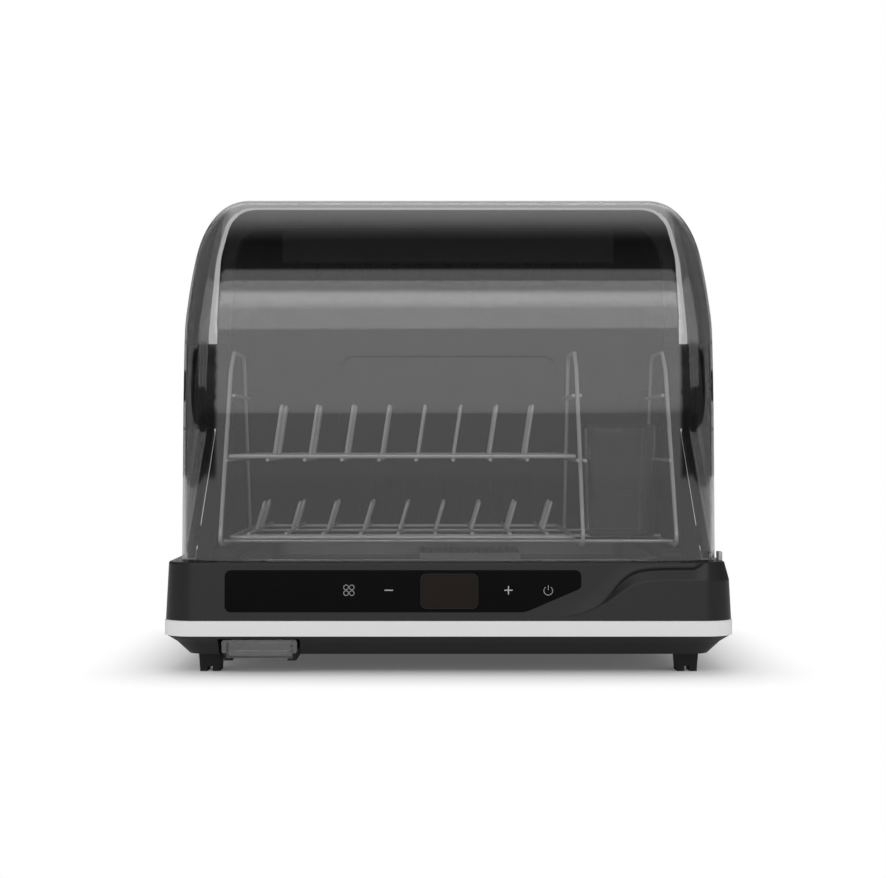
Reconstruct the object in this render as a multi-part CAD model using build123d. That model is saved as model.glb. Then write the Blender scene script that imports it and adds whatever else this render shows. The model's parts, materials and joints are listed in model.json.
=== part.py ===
from build123d import *
import math
import os

# A countertop dish sterilizer: a base with a fan, a heater and a drip drawer, a fixed black
# housing over its back half, and a smoked see-through visor that swings up and back over it.
# Millimetres. X right, Y back, Z up; the origin is on the table, under the middle of the base.

os.makedirs("parts", exist_ok=True)

# ---- clearances ----
fit_gap = 0.05            # a pin or shaft in its bore, on the radius
seat_gap = 0.3            # loose pieces that rest on or beside each other
past = 1.0  # how far a cutting form runs past the face that it opens
face_gap = 0.5            # moving faces that pass each other
lid_gap = 4.0             # visor to housing, along the whole swing

# ---- base ----
base_width = 460.0
base_depth = 350.0
base_corner = 24.0
foot_height = 16.0
pan_height = 16.0         # the lower black pan
pan_break = 6.0           # height of the pan's upper, flatter slope
pan_break_inset = 8.5
pan_inset = 18.0          # how far the pan's underside lies inside the trim
pan_corner = 16.0
trim_height = 12.4
trim_proud = 0.8
trim_wall = 4.0
shell_height = 46.9
shell_inset = 2.5         # the upper shell narrows this much to its top
shell_wall = 3.0
pan_wall = 2.5
deck_flange = 6.0         # width of the shell's rim round the deck panel
deck_ledge = 4.0          # width of the ledge that the deck panel rests on

pan_bottom = foot_height
trim_bottom = pan_bottom + pan_height
shell_bottom = trim_bottom + trim_height
deck_top = shell_bottom + shell_height
front_face = -base_depth / 2
half_width = base_width / 2

# finger scoop in the front right of the upper shell, given in the front view
scoop_depth = 3.4
scoop_back_wall = 2.2
scoop_tip_x = half_width - 109.0       # the sharp left end of the scoop
scoop_tip_z = 55.8
scoop_crest_x = half_width - 87.0     # its upper edge turns level here
scoop_crest_round = 20.0
scoop_knee_x = half_width - 72.0      # its lower edge turns level here
scoop_knee_round = 40.0
scoop_shelf_z = 76.7      # height of the level lower edge
scoop_lip = 3.3           # height of the lip left above it at the front
scoop_lip_end_x = half_width - 26.0   # the lip runs out at the corner
scoop_end_y = -40.0       # where the scoop ends on the right side

# ---- control panel ----
panel_left = -half_width + 50.2
panel_right = half_width - 123.5
panel_bottom = 51.3
panel_top = 85.1
panel_corner = 5.0
panel_cut_x = panel_right - 45.1   # the lower right corner is cut off from here
panel_cut_z = 70.6        # up to here
panel_thick = 1.5
window_width = 46.0
window_height = 27.8
window_centre_x = 0.6
window_corner = 5.0
window_thick = 1.2
board_thick = 1.6
board_height = 30.0
board_width = 260.0
board_centre_x = -36.0
board_setback = 12.0      # from the shell's inner face
key_places = (-80.0, -48.0, 48.0, 80.0)
key_pad_radius = 5.0
module_depth = 7.0
module_width = 42.0
module_height = 20.0

# ---- visor ----
hub_z = 237.4
visor_wall = 3.0
visor_front = front_face + 12.0
visor_bottom = deck_top + 0.7
visor_straight_top = 211.2
visor_front_radius = 400.0
visor_front_turn = 14.0
visor_brow_radius = 118.4
visor_brow_turn = 80.0
visor_crown_radius = 500.0
visor_half_low = half_width - 10.4   # half width at the bottom edge
visor_half_hub = visor_half_low - 1.5   # half width a little above the hubs
visor_half_bend = visor_half_low - 8.6
visor_half_top = visor_half_low - 22.1
visor_hub_bend_z = 285.0
visor_bend_z = 352.0
visor_top_z = (visor_straight_top + visor_front_radius * math.sin(math.radians(visor_front_turn))
               + visor_brow_radius * (math.sin(math.radians(visor_brow_turn))
                                      - math.sin(math.radians(visor_front_turn)))
               + visor_crown_radius * (1 - math.sin(math.radians(visor_brow_turn))))
visor_side_radii = (180.0, 150.0)
visor_edge_radius = 32.0
visor_rear_y = 4.0        # its rear edge, above the hubs
visor_overlap = 12.0      # how far its sides run below the cheeks' slanted edges
window_half = 87.0        # the shallow recessed field in its front
window_top = 257.5
field_corner = 11.0
field_step = 1.5
grip_half = 76.4
grip_z = 112.6
grip_height = 5.0
grip_proud = 4.0

# ---- hubs ----
cap_radius = 41.0
cap_step_radius = 34.0
cap_dish_radius = 22.0
cap_rim = 5.0
cap_step = 5.0
cap_spigot_radius = 14.0
spigot_gap = 0.3
ring_radius = 38.0
ring_thick = 2.1
pin_radius = 6.0
bush_wall = 3.0
boss_radius = 38.0
boss_sleeve_wall = 3.0
damper_radius = 22.0

latch_gap = 0.8
latch_thick = 3.0
latch_front_y = visor_front + 14.0
latch_length = 14.0
latch_height = 7.0

magnet_radius = 3.0
reed_length = 5.0
bumper_radius = 2.5
bumper_places = (80.0 - half_width, half_width - 80.0)

# ---- housing, cheeks and liner ----
housing_half = visor_half_low - 13.6
housing_wall = 2.5
housing_radius = visor_top_z - hub_z - visor_wall - lid_gap - 0.6
housing_edge_radius = 27.0
housing_front_y = -6.0
housing_flange = 3.0
housing_shoulder = 62.0   # distance from the hub axis up to which its sides are flat
drum_radius = 38.0        # closed drums round the hub pins, inside the double wall
drum_wall = 2.0
vent_z = 200.0            # outlet louvres in the housing's back
liner_vent_z = 130.0      # the liner's own slots lie lower, so no lamplight gets straight out
vent_count = 6
vent_pitch = 14.0
vent_width = 5.0
vent_height = 44.0
vent_frame = 8.0
vent_proud = 2.0
liner_half = housing_half - 12.0
liner_wall = 1.5
liner_radius = 142.0
liner_edge_radius = 24.0
cheek_wall = 2.5
cheek_front_y = front_face + 23.0   # where its slanted edge meets the deck
cheek_top_z = 207.0       # where its slanted edge meets the housing
sill_height = 8.7
sill_inner = liner_half - 20.0
sill_round = 7.0
sill_back_y = 116.0
arm_thick = 5.6           # the black arms that carry the visor's sides
arm_width = 11.0
arm_leaf = 2.6            # how far an arm's lower end widens inwards
arm_leaf_start = 16.0
arm_leaf_length = 30.0

# ---- tub and drain ----
tub_half = half_width - 62.0   # half the deck opening
tub_front = front_face + 29.0
tub_back = -front_face - 41.0
tub_corner = 18.0
tub_wall = 1.2
tub_lip = 5.0             # flange that lies on the deck
tub_depth = 12.0
spout_y = front_face + 79.0
spout_radius = 6.0

# ---- drip drawer and its rails ----
drawer_centre_x = -half_width + 77.0
spout_x = drawer_centre_x + 1.0
drawer_face_width = 61.0
drawer_face_height = 10.5
drawer_face_bottom = 17.3
drawer_face_y = front_face + 14.0
drawer_tray_width = 54.0
drawer_tray_height = 12.5
drawer_tray_bottom = 12.9
drawer_length = 150.0
drawer_wall = 2.0
rail_web = 2.0
rail_lip = 5.0
rail_bottom = 10.6
rail_front_y = drawer_face_y + 4.0

# ---- feet ----
foot_x = half_width - 34.5
foot_front_y = front_face + 45.0
foot_back_y = -front_face - 35.0
foot_width = 17.5
foot_depth = 22.0
foot_notch = 4.0
foot_pad_height = 2.0
foot_flare = 1.0

# ---- fan, heater and duct ----
fan_x = 20.0
fan_y = 62.0
fan_size = 92.0
fan_height = 25.0
fan_z = 22.5
fan_bore_radius = 43.5
fan_hub_radius = 18.0
fan_tip_gap = 1.2
fan_blades = 7
fan_blade_thick = 1.6
fan_blade_tilt = 38.0
fan_shaft_radius = 1.5
fan_motor_radius = 14.0
fan_motor_height = 7.0
fan_strut = 5.0
heater_height = 15.0
heater_frame_wall = 4.0
heater_fin_pitch = 7.0
heater_fin_thick = 0.8
heater_bar = 6.0
duct_wall = 2.0
grille_thick = 2.0
grille_slot = 3.0
grille_pitch = 6.5
outlet_rise = 6.0

# ---- other pieces inside the base ----
power_board_width = 90.0
power_board_depth = 70.0
power_board_x = half_width - 95.0
power_board_y = 60.0
standoff_radius = 3.5
standoff_height = 5.0
choke_radius = 11.0
relay_size = 16.0
ballast_width = 90.0
ballast_depth = 30.0
ballast_height = 22.0
ballast_x = -half_width + 100.0
ballast_y = 90.0
fuse_radius = 3.0
inlet_x = half_width - 70.0
inlet_z = 62.0
gland_radius = 7.0
cord_bore_radius = 3.6
gland_flange_radius = 10.0
gland_inset = 1.6
gland_length = 9.0
gland_flange = 4.5
cord_plate_half = gland_flange_radius + 4.0

# ---- ultraviolet lamp, up under the housing's ceiling ----
lamp_radius = 7.8
lamp_half = liner_half - 64.0
lamp_angle = 72.0         # degrees above the horizontal, behind the hub axis
lamp_orbit = 127.0
holder_length = 18.0
guard_radius = 112.0
guard_wall = 1.2
guard_start = 62.0
guard_end = 90.0
guard_slot = 4.0
guard_slot_pitch = 24.0
guard_lip_y = -2.0        # its front lip, just inside the housing's mouth

# ---- wire racks ----
frame_wire = 3.5
rod_wire = 3.0
rack_half = liner_half - 6.0     # the outer side frames
divider_x = rack_half - 77.0     # the middle one
frame_points = ((-138.0, 0.0), (-56.0, 148.0), (-32.0, 164.0), (50.0, 164.0), (106.0, 0.0))
frame_bends = (9.0, 16.0, 16.0, 16.0, 9.0)
rail_levels = (70.4, 126.0)   # heights of the side rods above the frames' feet
rod_front_y = -118.0
cross_places = (-110.0, -20.0, 78.0)
upper_front_y = -115.0
upper_back_y = 92.0
upper_left_x = -rack_half + 5.0
upper_right_x = divider_x - 5.4
upper_bend = 10.0
prong_pitch = 31.0
prong_first_x = upper_left_x + 32.0
prong_count = int((upper_right_x - 4 * frame_wire - prong_first_x) // prong_pitch) + 1
prong_height = 46.0
prong_lean = 7.0          # how far a prong's tip lies to the right of its foot
prong_reach = 22.0
prong_back_y = -8.0
prong_bend = 6.0
lower_first_x = -rack_half + 22.0
lower_count = int((divider_x - 4 * frame_wire - lower_first_x) // prong_pitch) + 1
lower_prong_height = 24.0
lower_front_y = -122.0
lower_back_y = 92.0

# ---- cutlery basket in the right compartment ----
basket_left = divider_x + 9.0
basket_right = rack_half - 8.0
basket_front = -70.0
basket_back = 36.0
basket_height = 96.0
basket_wall = 1.8
basket_corner = 11.0
basket_taper = 2.0
basket_floor_rise = 34.0  # the slotted inner floor above the drip floor
basket_rim = 2.6
basket_rib = 1.6


# ======== helpers ========

def save(name, shape):
    export_step(shape, "parts/" + name + ".step")


def block(x_low, x_high, y_low, y_high, z_low, z_high):
    size = (x_high - x_low, y_high - y_low, z_high - z_low)
    centre = ((x_low + x_high) / 2, (y_low + y_high) / 2, (z_low + z_high) / 2)
    return Pos(*centre) * Box(*size)


def base_outline(inset, corner, z):
    # the base's plan, drawn in by inset on every side
    return Pos(0, 0, z) * RectangleRounded(base_width - 2 * inset, base_depth - 2 * inset, corner)


def base_slab(inset_low, corner_low, z_low, inset_high, corner_high, z_high):
    foot = base_outline(inset_low, corner_low, z_low)
    head = base_outline(inset_high, corner_high, z_high)
    return loft([foot.face(), head.face()], ruled=True)


def rounded_box(x_low, x_high, y_low, y_high, corner, z_low, z_high):
    outline = RectangleRounded(x_high - x_low, y_high - y_low, corner)
    place = Pos((x_low + x_high) / 2, (y_low + y_high) / 2, z_low)
    return extrude(place * outline, z_high - z_low)


def disc_x(radius, x_low, x_high, y=0.0, z=0.0):
    plane = Plane(origin=(x_low, y, z), x_dir=(0, 1, 0), z_dir=(1, 0, 0))
    return extrude(plane * Circle(radius), x_high - x_low)


def disc_y(radius, y_low, y_high, x=0.0, z=0.0):
    plane = Plane(origin=(x, y_low, z), x_dir=(1, 0, 0), z_dir=(0, 1, 0))
    return extrude(plane * Circle(radius), y_high - y_low)


def disc_z(radius, z_low, z_high, x=0.0, y=0.0):
    return extrude(Pos(x, y, z_low) * Circle(radius), z_high - z_low)


def side_region(points, x_low, x_high):
    # a prism along X from an outline given as (y, z) points
    plane = Plane(origin=(x_low, 0, 0), x_dir=(0, 1, 0), z_dir=(1, 0, 0))
    return extrude(plane * Polygon(*points, align=None), x_high - x_low, dir=(1, 0, 0))


def wire(points, bends, thickness):
    path = FilletPolyline(*points, radius=bends)
    start = path @ 0
    heading = path % 0
    return sweep(Plane(origin=start, z_dir=heading) * Circle(thickness / 2), path=path)


def rod(start, end, thickness):
    path = Line(start, end)
    return sweep(Plane(origin=start, z_dir=path % 0) * Circle(thickness / 2), path=path)


def fused(shapes):
    whole = shapes[0]
    for shape in shapes[1:]:
        whole = whole + shape
    return whole


def both_sides(shape):
    return [shape, mirror(shape, about=Plane.YZ)]


def as_group(shapes):
    solids = []
    for shape in shapes:
        solids.extend(shape.solids())
    return Compound(children=solids)


# ======== base: pan, trim and upper shell ========

def pan_form(inside):
    # the pan's outer form, drawn in by inside; two slopes, the lower one steeper
    z_break = trim_bottom - pan_break
    foot_inset = pan_inset + inside
    break_inset = pan_break_inset + inside
    break_corner = (pan_corner + base_corner) / 2
    lower = base_slab(foot_inset, pan_corner, pan_bottom, break_inset, break_corner, z_break)
    upper = base_slab(break_inset, break_corner, z_break, inside, base_corner, trim_bottom)
    return lower + upper


drawer_pocket_half = drawer_face_width / 2 + rail_web + face_gap
drawer_pocket_left = drawer_centre_x - drawer_pocket_half
drawer_pocket_right = drawer_centre_x + drawer_pocket_half
drawer_pocket_back = drawer_face_y + drawer_length + 8.0
drawer_pocket_top = trim_bottom - pan_wall
fan_slots = range(-6, 7)
fan_slot_pitch = 6.0
fan_slot_width = 2.6
screw_radius = 2.0
screw_head_radius = 3.6
screw_head = 2.0
screw_length = 12.0
screw_boss_radius = 5.0
base_screw_x = half_width - 26.0
base_screw_rows = (front_face + 85.0, 0.0, -front_face - 75.0)
screw_rib = 2.0
housing_screw_places = (110.0 - half_width, half_width - 110.0)
housing_screw_y = (liner_radius + housing_radius - housing_wall) / 2
housing_boss_half = 5.0
base_screw_places = [(side * base_screw_x, y) for side in (-1, 1) for y in base_screw_rows]


def make_base_pan():
    cavity = pan_form(pan_wall) & block(-base_width, base_width, -base_depth, base_depth,
                                        pan_bottom + pan_wall, trim_bottom)
    pan = pan_form(0) - cavity
    pocket_case = block(drawer_pocket_left - pan_wall, drawer_pocket_right + pan_wall,
                        front_face, drawer_pocket_back + pan_wall, pan_bottom, trim_bottom)
    pan = pan + (pan_form(0) & pocket_case)
    pan = pan - block(drawer_pocket_left, drawer_pocket_right, front_face - past, drawer_pocket_back,
                      0, drawer_pocket_top)
    pan = pan - disc_z(spout_radius + seat_gap, drawer_pocket_top - past, trim_bottom + past, spout_x, spout_y)
    for x, y in base_screw_places:
        pan = pan + disc_z(screw_boss_radius, pan_bottom + pan_wall, trim_bottom, x, y)
        pan = pan - disc_z(screw_radius + fit_gap, pan_bottom, trim_bottom, x, y)
        pan = pan - disc_z(screw_head_radius + seat_gap, pan_bottom, pan_bottom + screw_head, x, y)
    for number in fan_slots:
        x = fan_x + number * fan_slot_pitch
        reach = math.sqrt(fan_bore_radius ** 2 - (number * fan_slot_pitch) ** 2) - fan_slot_width
        pan = pan - block(x - fan_slot_width / 2, x + fan_slot_width / 2, fan_y - reach, fan_y + reach,
                          pan_bottom - past, pan_bottom + pan_wall + past)
    return pan


def make_silver_trim():
    outer = extrude(base_outline(-trim_proud, base_corner + trim_proud, trim_bottom), trim_height)
    outer = chamfer(outer.faces().sort_by(Axis.Z)[-1].edges(), trim_proud)
    inner = extrude(base_outline(trim_wall, base_corner - trim_wall, trim_bottom), trim_height)
    return outer - inner


def shell_form(inside, z_low, z_high):
    # the upper shell's form, drawn in by inside, between two heights
    rise = (z_high - shell_bottom) / shell_height
    inset_high = inside + shell_inset * rise
    corner = base_corner - inside
    return base_slab(inside, corner, z_low, inset_high, corner, z_high)


def scoop_region(grow):
    top = deck_top + 1
    side = base_width / 2 + 5
    outline = FilletPolyline(
        (scoop_tip_x - grow, scoop_tip_z - grow),
        (scoop_crest_x - grow, deck_top - scoop_lip + grow),
        (scoop_lip_end_x, deck_top - scoop_lip + grow),
        (scoop_lip_end_x + scoop_lip, top),
        (side, top),
        (side, scoop_shelf_z - grow),
        (scoop_knee_x, scoop_shelf_z - grow),
        radius=(0, scoop_crest_round, 0, 0, 0, 0, scoop_knee_round),
        close=True,
    )
    plane = Plane(origin=(0, scoop_end_y + grow, 0), x_dir=(1, 0, 0), z_dir=(0, -1, 0))
    return extrude(plane * make_face(outline.edges()), base_depth, dir=(0, -1, 0))


shell_lean = math.degrees(math.atan2(shell_inset, shell_height))
panel_middle_z = (panel_bottom + panel_top) / 2
panel_face_y = front_face + shell_inset * (panel_middle_z - shell_bottom) / shell_height
panel_plane = Plane(
    origin=(0, panel_face_y, panel_middle_z),
    x_dir=(1, 0, 0),
    z_dir=(0, -math.cos(math.radians(shell_lean)), math.sin(math.radians(shell_lean))),
)
board_front = shell_wall + board_setback
board_boss_radius = 3.5
board_boss_inset = 8.0
board_boss_drop = board_height / 2 - 5.0
board_boss_span = board_width / 2 - board_boss_inset
board_bosses = (-board_boss_span, -70.0, 75.0, board_boss_span)


def behind_panel(sketch, depth_near, depth_far):
    # a slab behind the shell's front face, between two depths
    outward = panel_plane.z_dir
    return extrude(panel_plane * (Pos(0, 0, -depth_far) * sketch), depth_far - depth_near, dir=outward)


def panel_outline(grow):
    low = panel_bottom - panel_middle_z - grow
    high = panel_top - panel_middle_z + grow
    corner = panel_corner + grow
    edge = FilletPolyline(
        (panel_left - grow, low),
        (panel_cut_x, low),
        (panel_right + grow, panel_cut_z - panel_middle_z),
        (panel_right + grow, high),
        (panel_left - grow, high),
        radius=(corner, 4 * corner, 2 * corner, corner, corner),
        close=True,
    )
    return make_face(edge.edges())


def window_outline(grow):
    outline = RectangleRounded(window_width + 2 * grow, window_height + 2 * grow, window_corner)
    return Pos(window_centre_x, 0) * outline


def deck_seat(inside, z_low, z_high):
    # the rounded hole in the shell's top, drawn in by inside
    inset = shell_inset + deck_flange + inside
    return extrude(base_outline(inset, base_corner - deck_flange - inside, z_low), z_high - z_low)


def make_base_shell():
    ledge_top = deck_top - shell_wall
    ledge_bottom = ledge_top - shell_wall
    shell = shell_form(0, shell_bottom, deck_top) - shell_form(shell_wall, shell_bottom, ledge_bottom)
    shell = shell - deck_seat(deck_ledge, shell_bottom, deck_top + past) - deck_seat(0, ledge_top, deck_top + past)
    backing = shell_form(scoop_depth, shell_bottom, ledge_top)
    backing = backing - shell_form(scoop_depth + scoop_back_wall, shell_bottom, ledge_top)
    shell = shell + (backing & scoop_region(2 * scoop_back_wall) & block(
        0, base_width, -base_depth, base_depth, scoop_tip_z, deck_top))
    rebate = shell_form(-past, shell_bottom, deck_top + past) - shell_form(scoop_depth, shell_bottom, deck_top + past)
    shell = shell - (rebate & scoop_region(0))
    shell = shell - behind_panel(panel_outline(seat_gap / 2), -past, panel_thick + fit_gap)
    shell = shell - behind_panel(window_outline(-panel_thick), 0, shell_wall + past)
    for x in board_bosses:
        boss = behind_panel(Pos(board_centre_x + x, -board_boss_drop) * Circle(board_boss_radius),
                            shell_wall - fit_gap, board_front)
        shell = shell + boss
    for x, y in base_screw_places:
        rib = block(min(x, 2 * x), max(x, 2 * x), y - screw_rib / 2, y + screw_rib / 2,
                    shell_bottom, ledge_bottom)
        shell = shell + (rib & shell_form(shell_wall / 2, shell_bottom, deck_top))
        shell = shell + disc_z(screw_boss_radius, trim_bottom, ledge_top, x, y)
        shell = shell - disc_z(screw_radius, trim_bottom, trim_bottom + screw_length, x, y)
    return shell - cord_plate_prism(0)


def cord_plate_prism(inside):
    # the square hole in the rear wall round the lead, drawn in by inside
    half = cord_plate_half - inside
    return block(inlet_x - half, inlet_x + half, base_depth / 2 - 2 * shell_wall, base_depth / 2,
                 inlet_z - half, inlet_z + half)


def make_cord_plate():
    # a plate in the rear wall that holds the lead's bush
    plate = cord_plate_prism(seat_gap) & (
        shell_form(0, shell_bottom, deck_top) - shell_form(shell_wall, shell_bottom, deck_top))
    return plate - disc_y(gland_radius + fit_gap, 0, base_depth, inlet_x, inlet_z)


def make_deck_panel():
    # the flat top that lies in the shell's rim and holds the tub
    deck = deck_seat(seat_gap, deck_top - shell_wall, deck_top)
    deck = deck - rounded_box(-tub_half, tub_half, tub_front, tub_back, tub_corner,
                              deck_top - 2 * shell_wall, deck_top + past)
    for x in housing_screw_places:
        deck = deck - disc_z(screw_radius, deck_top - 2 * shell_wall, deck_top + past, x, housing_screw_y)
    return deck


def make_side_latch():
    # a small tab on the deck beside the visor's right edge
    low = visor_half_low + latch_gap
    return block(low, low + latch_thick, latch_front_y, latch_front_y + latch_length,
                 deck_top, deck_top + latch_height)


def make_control_panel():
    panel = behind_panel(panel_outline(0), 0, panel_thick)
    return panel - behind_panel(window_outline(seat_gap / 2), -past, panel_thick + past)


def make_display_window():
    return behind_panel(window_outline(0), 0, window_thick)


def make_control_board():
    outline = Pos(board_centre_x, 0) * RectangleRounded(board_width, board_height, 2)
    return behind_panel(outline, board_front, board_front + board_thick)


def make_display_module():
    outline = Pos(window_centre_x, 0) * Rectangle(module_width, module_height)
    return behind_panel(outline, board_front - module_depth, board_front)


def make_touch_pads():
    pads = []
    for x in key_places:
        pads.append(behind_panel(Pos(x, 0) * Circle(key_pad_radius), shell_wall, board_front))
    return as_group(pads)


def make_base_screws():
    screws = []
    for x, y in base_screw_places:
        shank_low = pan_bottom + screw_head / 2
        shank_high = pan_bottom + screw_length + screw_head
        shank = disc_z(screw_radius - fit_gap, shank_low, shank_high, x, y)
        head = disc_z(screw_head_radius, pan_bottom + fit_gap, pan_bottom + screw_head, x, y)
        screws.append(head + shank)
    return as_group(screws)


# ======== feet, drip drawer and its rails ========

foot_places = [(side * foot_x, y) for side in (-1, 1) for y in (foot_front_y, foot_back_y)]


def make_feet():
    feet = []
    for x, y in foot_places:
        low = Pos(x, y, foot_pad_height) * Rectangle(foot_width - foot_flare, foot_depth - foot_flare)
        high = Pos(x, y, foot_height) * Rectangle(foot_width + foot_flare, foot_depth + foot_flare)
        foot = loft([low.face(), high.face()], ruled=True)
        notch = block(x - foot_notch / 2, x + foot_notch / 2, y - foot_depth, y + foot_depth,
                      0, foot_pad_height + foot_notch / 2)
        feet.append(foot - notch)
    return as_group(feet)


def make_foot_pads():
    pads = []
    half = (foot_width - foot_flare) / 2
    half_depth = (foot_depth - foot_flare) / 2
    for x, y in foot_places:
        for near, far in ((-half, -foot_notch / 2), (foot_notch / 2, half)):
            pads.append(block(x + near, x + far, y - half_depth, y + half_depth, 0, foot_pad_height))
    return as_group(pads)


drawer_left = drawer_centre_x - drawer_tray_width / 2
drawer_right = drawer_centre_x + drawer_tray_width / 2
drawer_back = drawer_face_y + drawer_length


def make_drip_drawer():
    tray = block(drawer_left, drawer_right, drawer_face_y, drawer_back,
                 drawer_tray_bottom, drawer_tray_bottom + drawer_tray_height)
    hollow = block(drawer_left + drawer_wall, drawer_right - drawer_wall, drawer_face_y + drawer_wall,
                   drawer_back - drawer_wall, drawer_tray_bottom + drawer_wall, trim_bottom)
    half = drawer_face_width / 2
    face = block(drawer_centre_x - half, drawer_centre_x + half, drawer_face_y - drawer_wall, drawer_face_y,
                 drawer_face_bottom, drawer_face_bottom + drawer_face_height)
    face = fillet(face.edges().filter_by(Axis.Y), drawer_wall)
    pull = block(drawer_left + drawer_wall, drawer_right - drawer_wall, drawer_face_y - 2 * drawer_wall,
                 drawer_face_y - drawer_wall, drawer_face_bottom, drawer_face_bottom + drawer_wall)
    return tray - hollow + face + pull


def make_drawer_rail(side):
    # an L-shaped runner that hangs from the pocket beside the tray and carries its edge
    inner = drawer_tray_width / 2 + seat_gap
    outer = inner + rail_web
    x_inner = drawer_centre_x + side * inner
    x_outer = drawer_centre_x + side * outer
    x_lip = drawer_centre_x + side * (inner - rail_lip)
    web = block(min(x_inner, x_outer), max(x_inner, x_outer), rail_front_y, drawer_pocket_back,
                rail_bottom, drawer_pocket_top)
    lip = block(min(x_lip, x_outer), max(x_lip, x_outer), rail_front_y, drawer_pocket_back,
                rail_bottom, drawer_tray_bottom - seat_gap)
    return web + lip


# ======== tub, spout, air outlet ========

tub_floor_top = deck_top - tub_depth
outlet_half = fan_size / 2 - heater_frame_wall
outlet_top = tub_floor_top + outlet_rise


def make_drain_tub():
    inner = rounded_box(-tub_half + tub_wall + seat_gap, tub_half - tub_wall - seat_gap,
                        tub_front + tub_wall + seat_gap, tub_back - tub_wall - seat_gap,
                        tub_corner - tub_wall, tub_floor_top, deck_top + tub_wall + past)
    outer = rounded_box(-tub_half + seat_gap, tub_half - seat_gap, tub_front + seat_gap, tub_back - seat_gap,
                        tub_corner, tub_floor_top - tub_wall, deck_top + tub_wall)
    lip = rounded_box(-tub_half - tub_lip, tub_half + tub_lip, tub_front - tub_lip, tub_back + tub_lip,
                      tub_corner + tub_lip, deck_top, deck_top + tub_wall)
    spout_end = drawer_tray_bottom + drawer_tray_height + 4 * tub_wall
    spout = disc_z(spout_radius, spout_end, tub_floor_top, spout_x, spout_y)
    tub = outer + lip + spout
    tub = tub - inner
    tub = tub - disc_z(spout_radius - tub_wall, 0, deck_top, spout_x, spout_y)
    return tub - outlet_column(0, tub_floor_top - 2 * tub_wall, deck_top)


def outlet_column(outside, low, high):
    # the square column of warm air over the fan, grown by outside
    half = outlet_half + outside
    return block(fan_x - half, fan_x + half, fan_y - half, fan_y + half, low, high)


def make_outlet_collar():
    # four low walls round the air outlet that keep the tub's water out of the duct
    low = tub_floor_top + seat_gap
    return outlet_column(tub_wall, low, outlet_top) - outlet_column(0, low - past, outlet_top + past)


def make_air_grille():
    # a slotted cover over the outlet collar
    reach = tub_wall + seat_gap
    cover_top = outlet_top + seat_gap + grille_thick
    cover = outlet_column(reach + grille_thick, tub_floor_top + seat_gap, cover_top)
    cover = cover - outlet_column(reach, tub_floor_top, outlet_top + seat_gap)
    count = int(outlet_half // grille_pitch)
    for number in range(-count, count + 1):
        x = fan_x + number * grille_pitch
        slot = block(x - grille_slot / 2, x + grille_slot / 2, fan_y - outlet_half, fan_y + outlet_half,
                     outlet_top, outlet_top + 2 * grille_thick)
        cover = cover - slot
    return cover


# ======== fan, heater, duct ========

fan_half = fan_size / 2
fan_top = fan_z + fan_height
heater_top = fan_top + heater_height


def make_fan_frame():
    frame = block(fan_x - fan_half, fan_x + fan_half, fan_y - fan_half, fan_y + fan_half, fan_z, fan_top)
    frame = fillet(frame.edges().filter_by(Axis.Z), fan_strut)
    frame = frame - disc_z(fan_bore_radius, fan_z - past, fan_top + past, fan_x, fan_y)
    reach = fan_bore_radius + fit_gap
    strut = fan_strut / 2
    struts = block(fan_x - reach, fan_x + reach, fan_y - strut, fan_y + strut, fan_z, fan_z + strut)
    struts = struts + block(fan_x - strut, fan_x + strut, fan_y - reach, fan_y + reach, fan_z, fan_z + strut)
    seat = disc_z(fan_motor_radius, fan_z, fan_z + fan_strut / 2, fan_x, fan_y)
    for x_side in (-1, 1):
        for y_side in (-1, 1):
            x = fan_x + x_side * (fan_half - fan_strut)
            y = fan_y + y_side * (fan_half - fan_strut)
            leg = disc_z(fan_strut, pan_bottom + pan_wall, fan_z, x, y)
            frame = frame + leg
    return frame + struts + seat


def make_fan_motor():
    low = fan_z + fan_strut / 2
    motor = disc_z(fan_motor_radius, low, low + fan_motor_height, fan_x, fan_y)
    return motor - disc_z(fan_shaft_radius + fit_gap, low + fit_gap, low + fan_motor_height + past, fan_x, fan_y)


def make_fan_rotor():
    motor_top = fan_z + fan_strut / 2 + fan_motor_height
    hub_bottom = fan_z + fan_strut / 2 + face_gap
    hub_top = fan_top - face_gap
    hub = disc_z(fan_hub_radius, hub_bottom, hub_top, fan_x, fan_y)
    hub = hub - disc_z(fan_motor_radius + face_gap, hub_bottom - past, motor_top + face_gap, fan_x, fan_y)
    shaft = disc_z(fan_shaft_radius, motor_top - fan_motor_height / 2, hub_top - face_gap, fan_x, fan_y)
    rotor = hub + shaft
    tip = fan_bore_radius - fan_tip_gap
    for number in range(fan_blades):
        middle = (fan_hub_radius + tip) / 2
        blade = Box(tip - fan_hub_radius + 2 * past, fan_blade_thick, fan_height - 4 * face_gap - fan_strut)
        blade = Pos(middle - past, 0, 0) * Rot(X=fan_blade_tilt) * blade
        blade = Pos(fan_x, fan_y, (hub_bottom + hub_top) / 2) * Rot(Z=360 / fan_blades * number) * blade
        rotor = rotor + blade
    sweep_limit = disc_z(tip, hub_bottom, hub_top, fan_x, fan_y)
    return rotor & (sweep_limit + disc_z(fan_shaft_radius, fan_z, hub_top, fan_x, fan_y))


def make_heater_frame():
    frame = block(fan_x - fan_half, fan_x + fan_half, fan_y - fan_half, fan_y + fan_half, fan_top, heater_top)
    inner = fan_half - heater_frame_wall
    return frame - block(fan_x - inner, fan_x + inner, fan_y - inner, fan_y + inner,
                         fan_top - past, heater_top + past)


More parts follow.
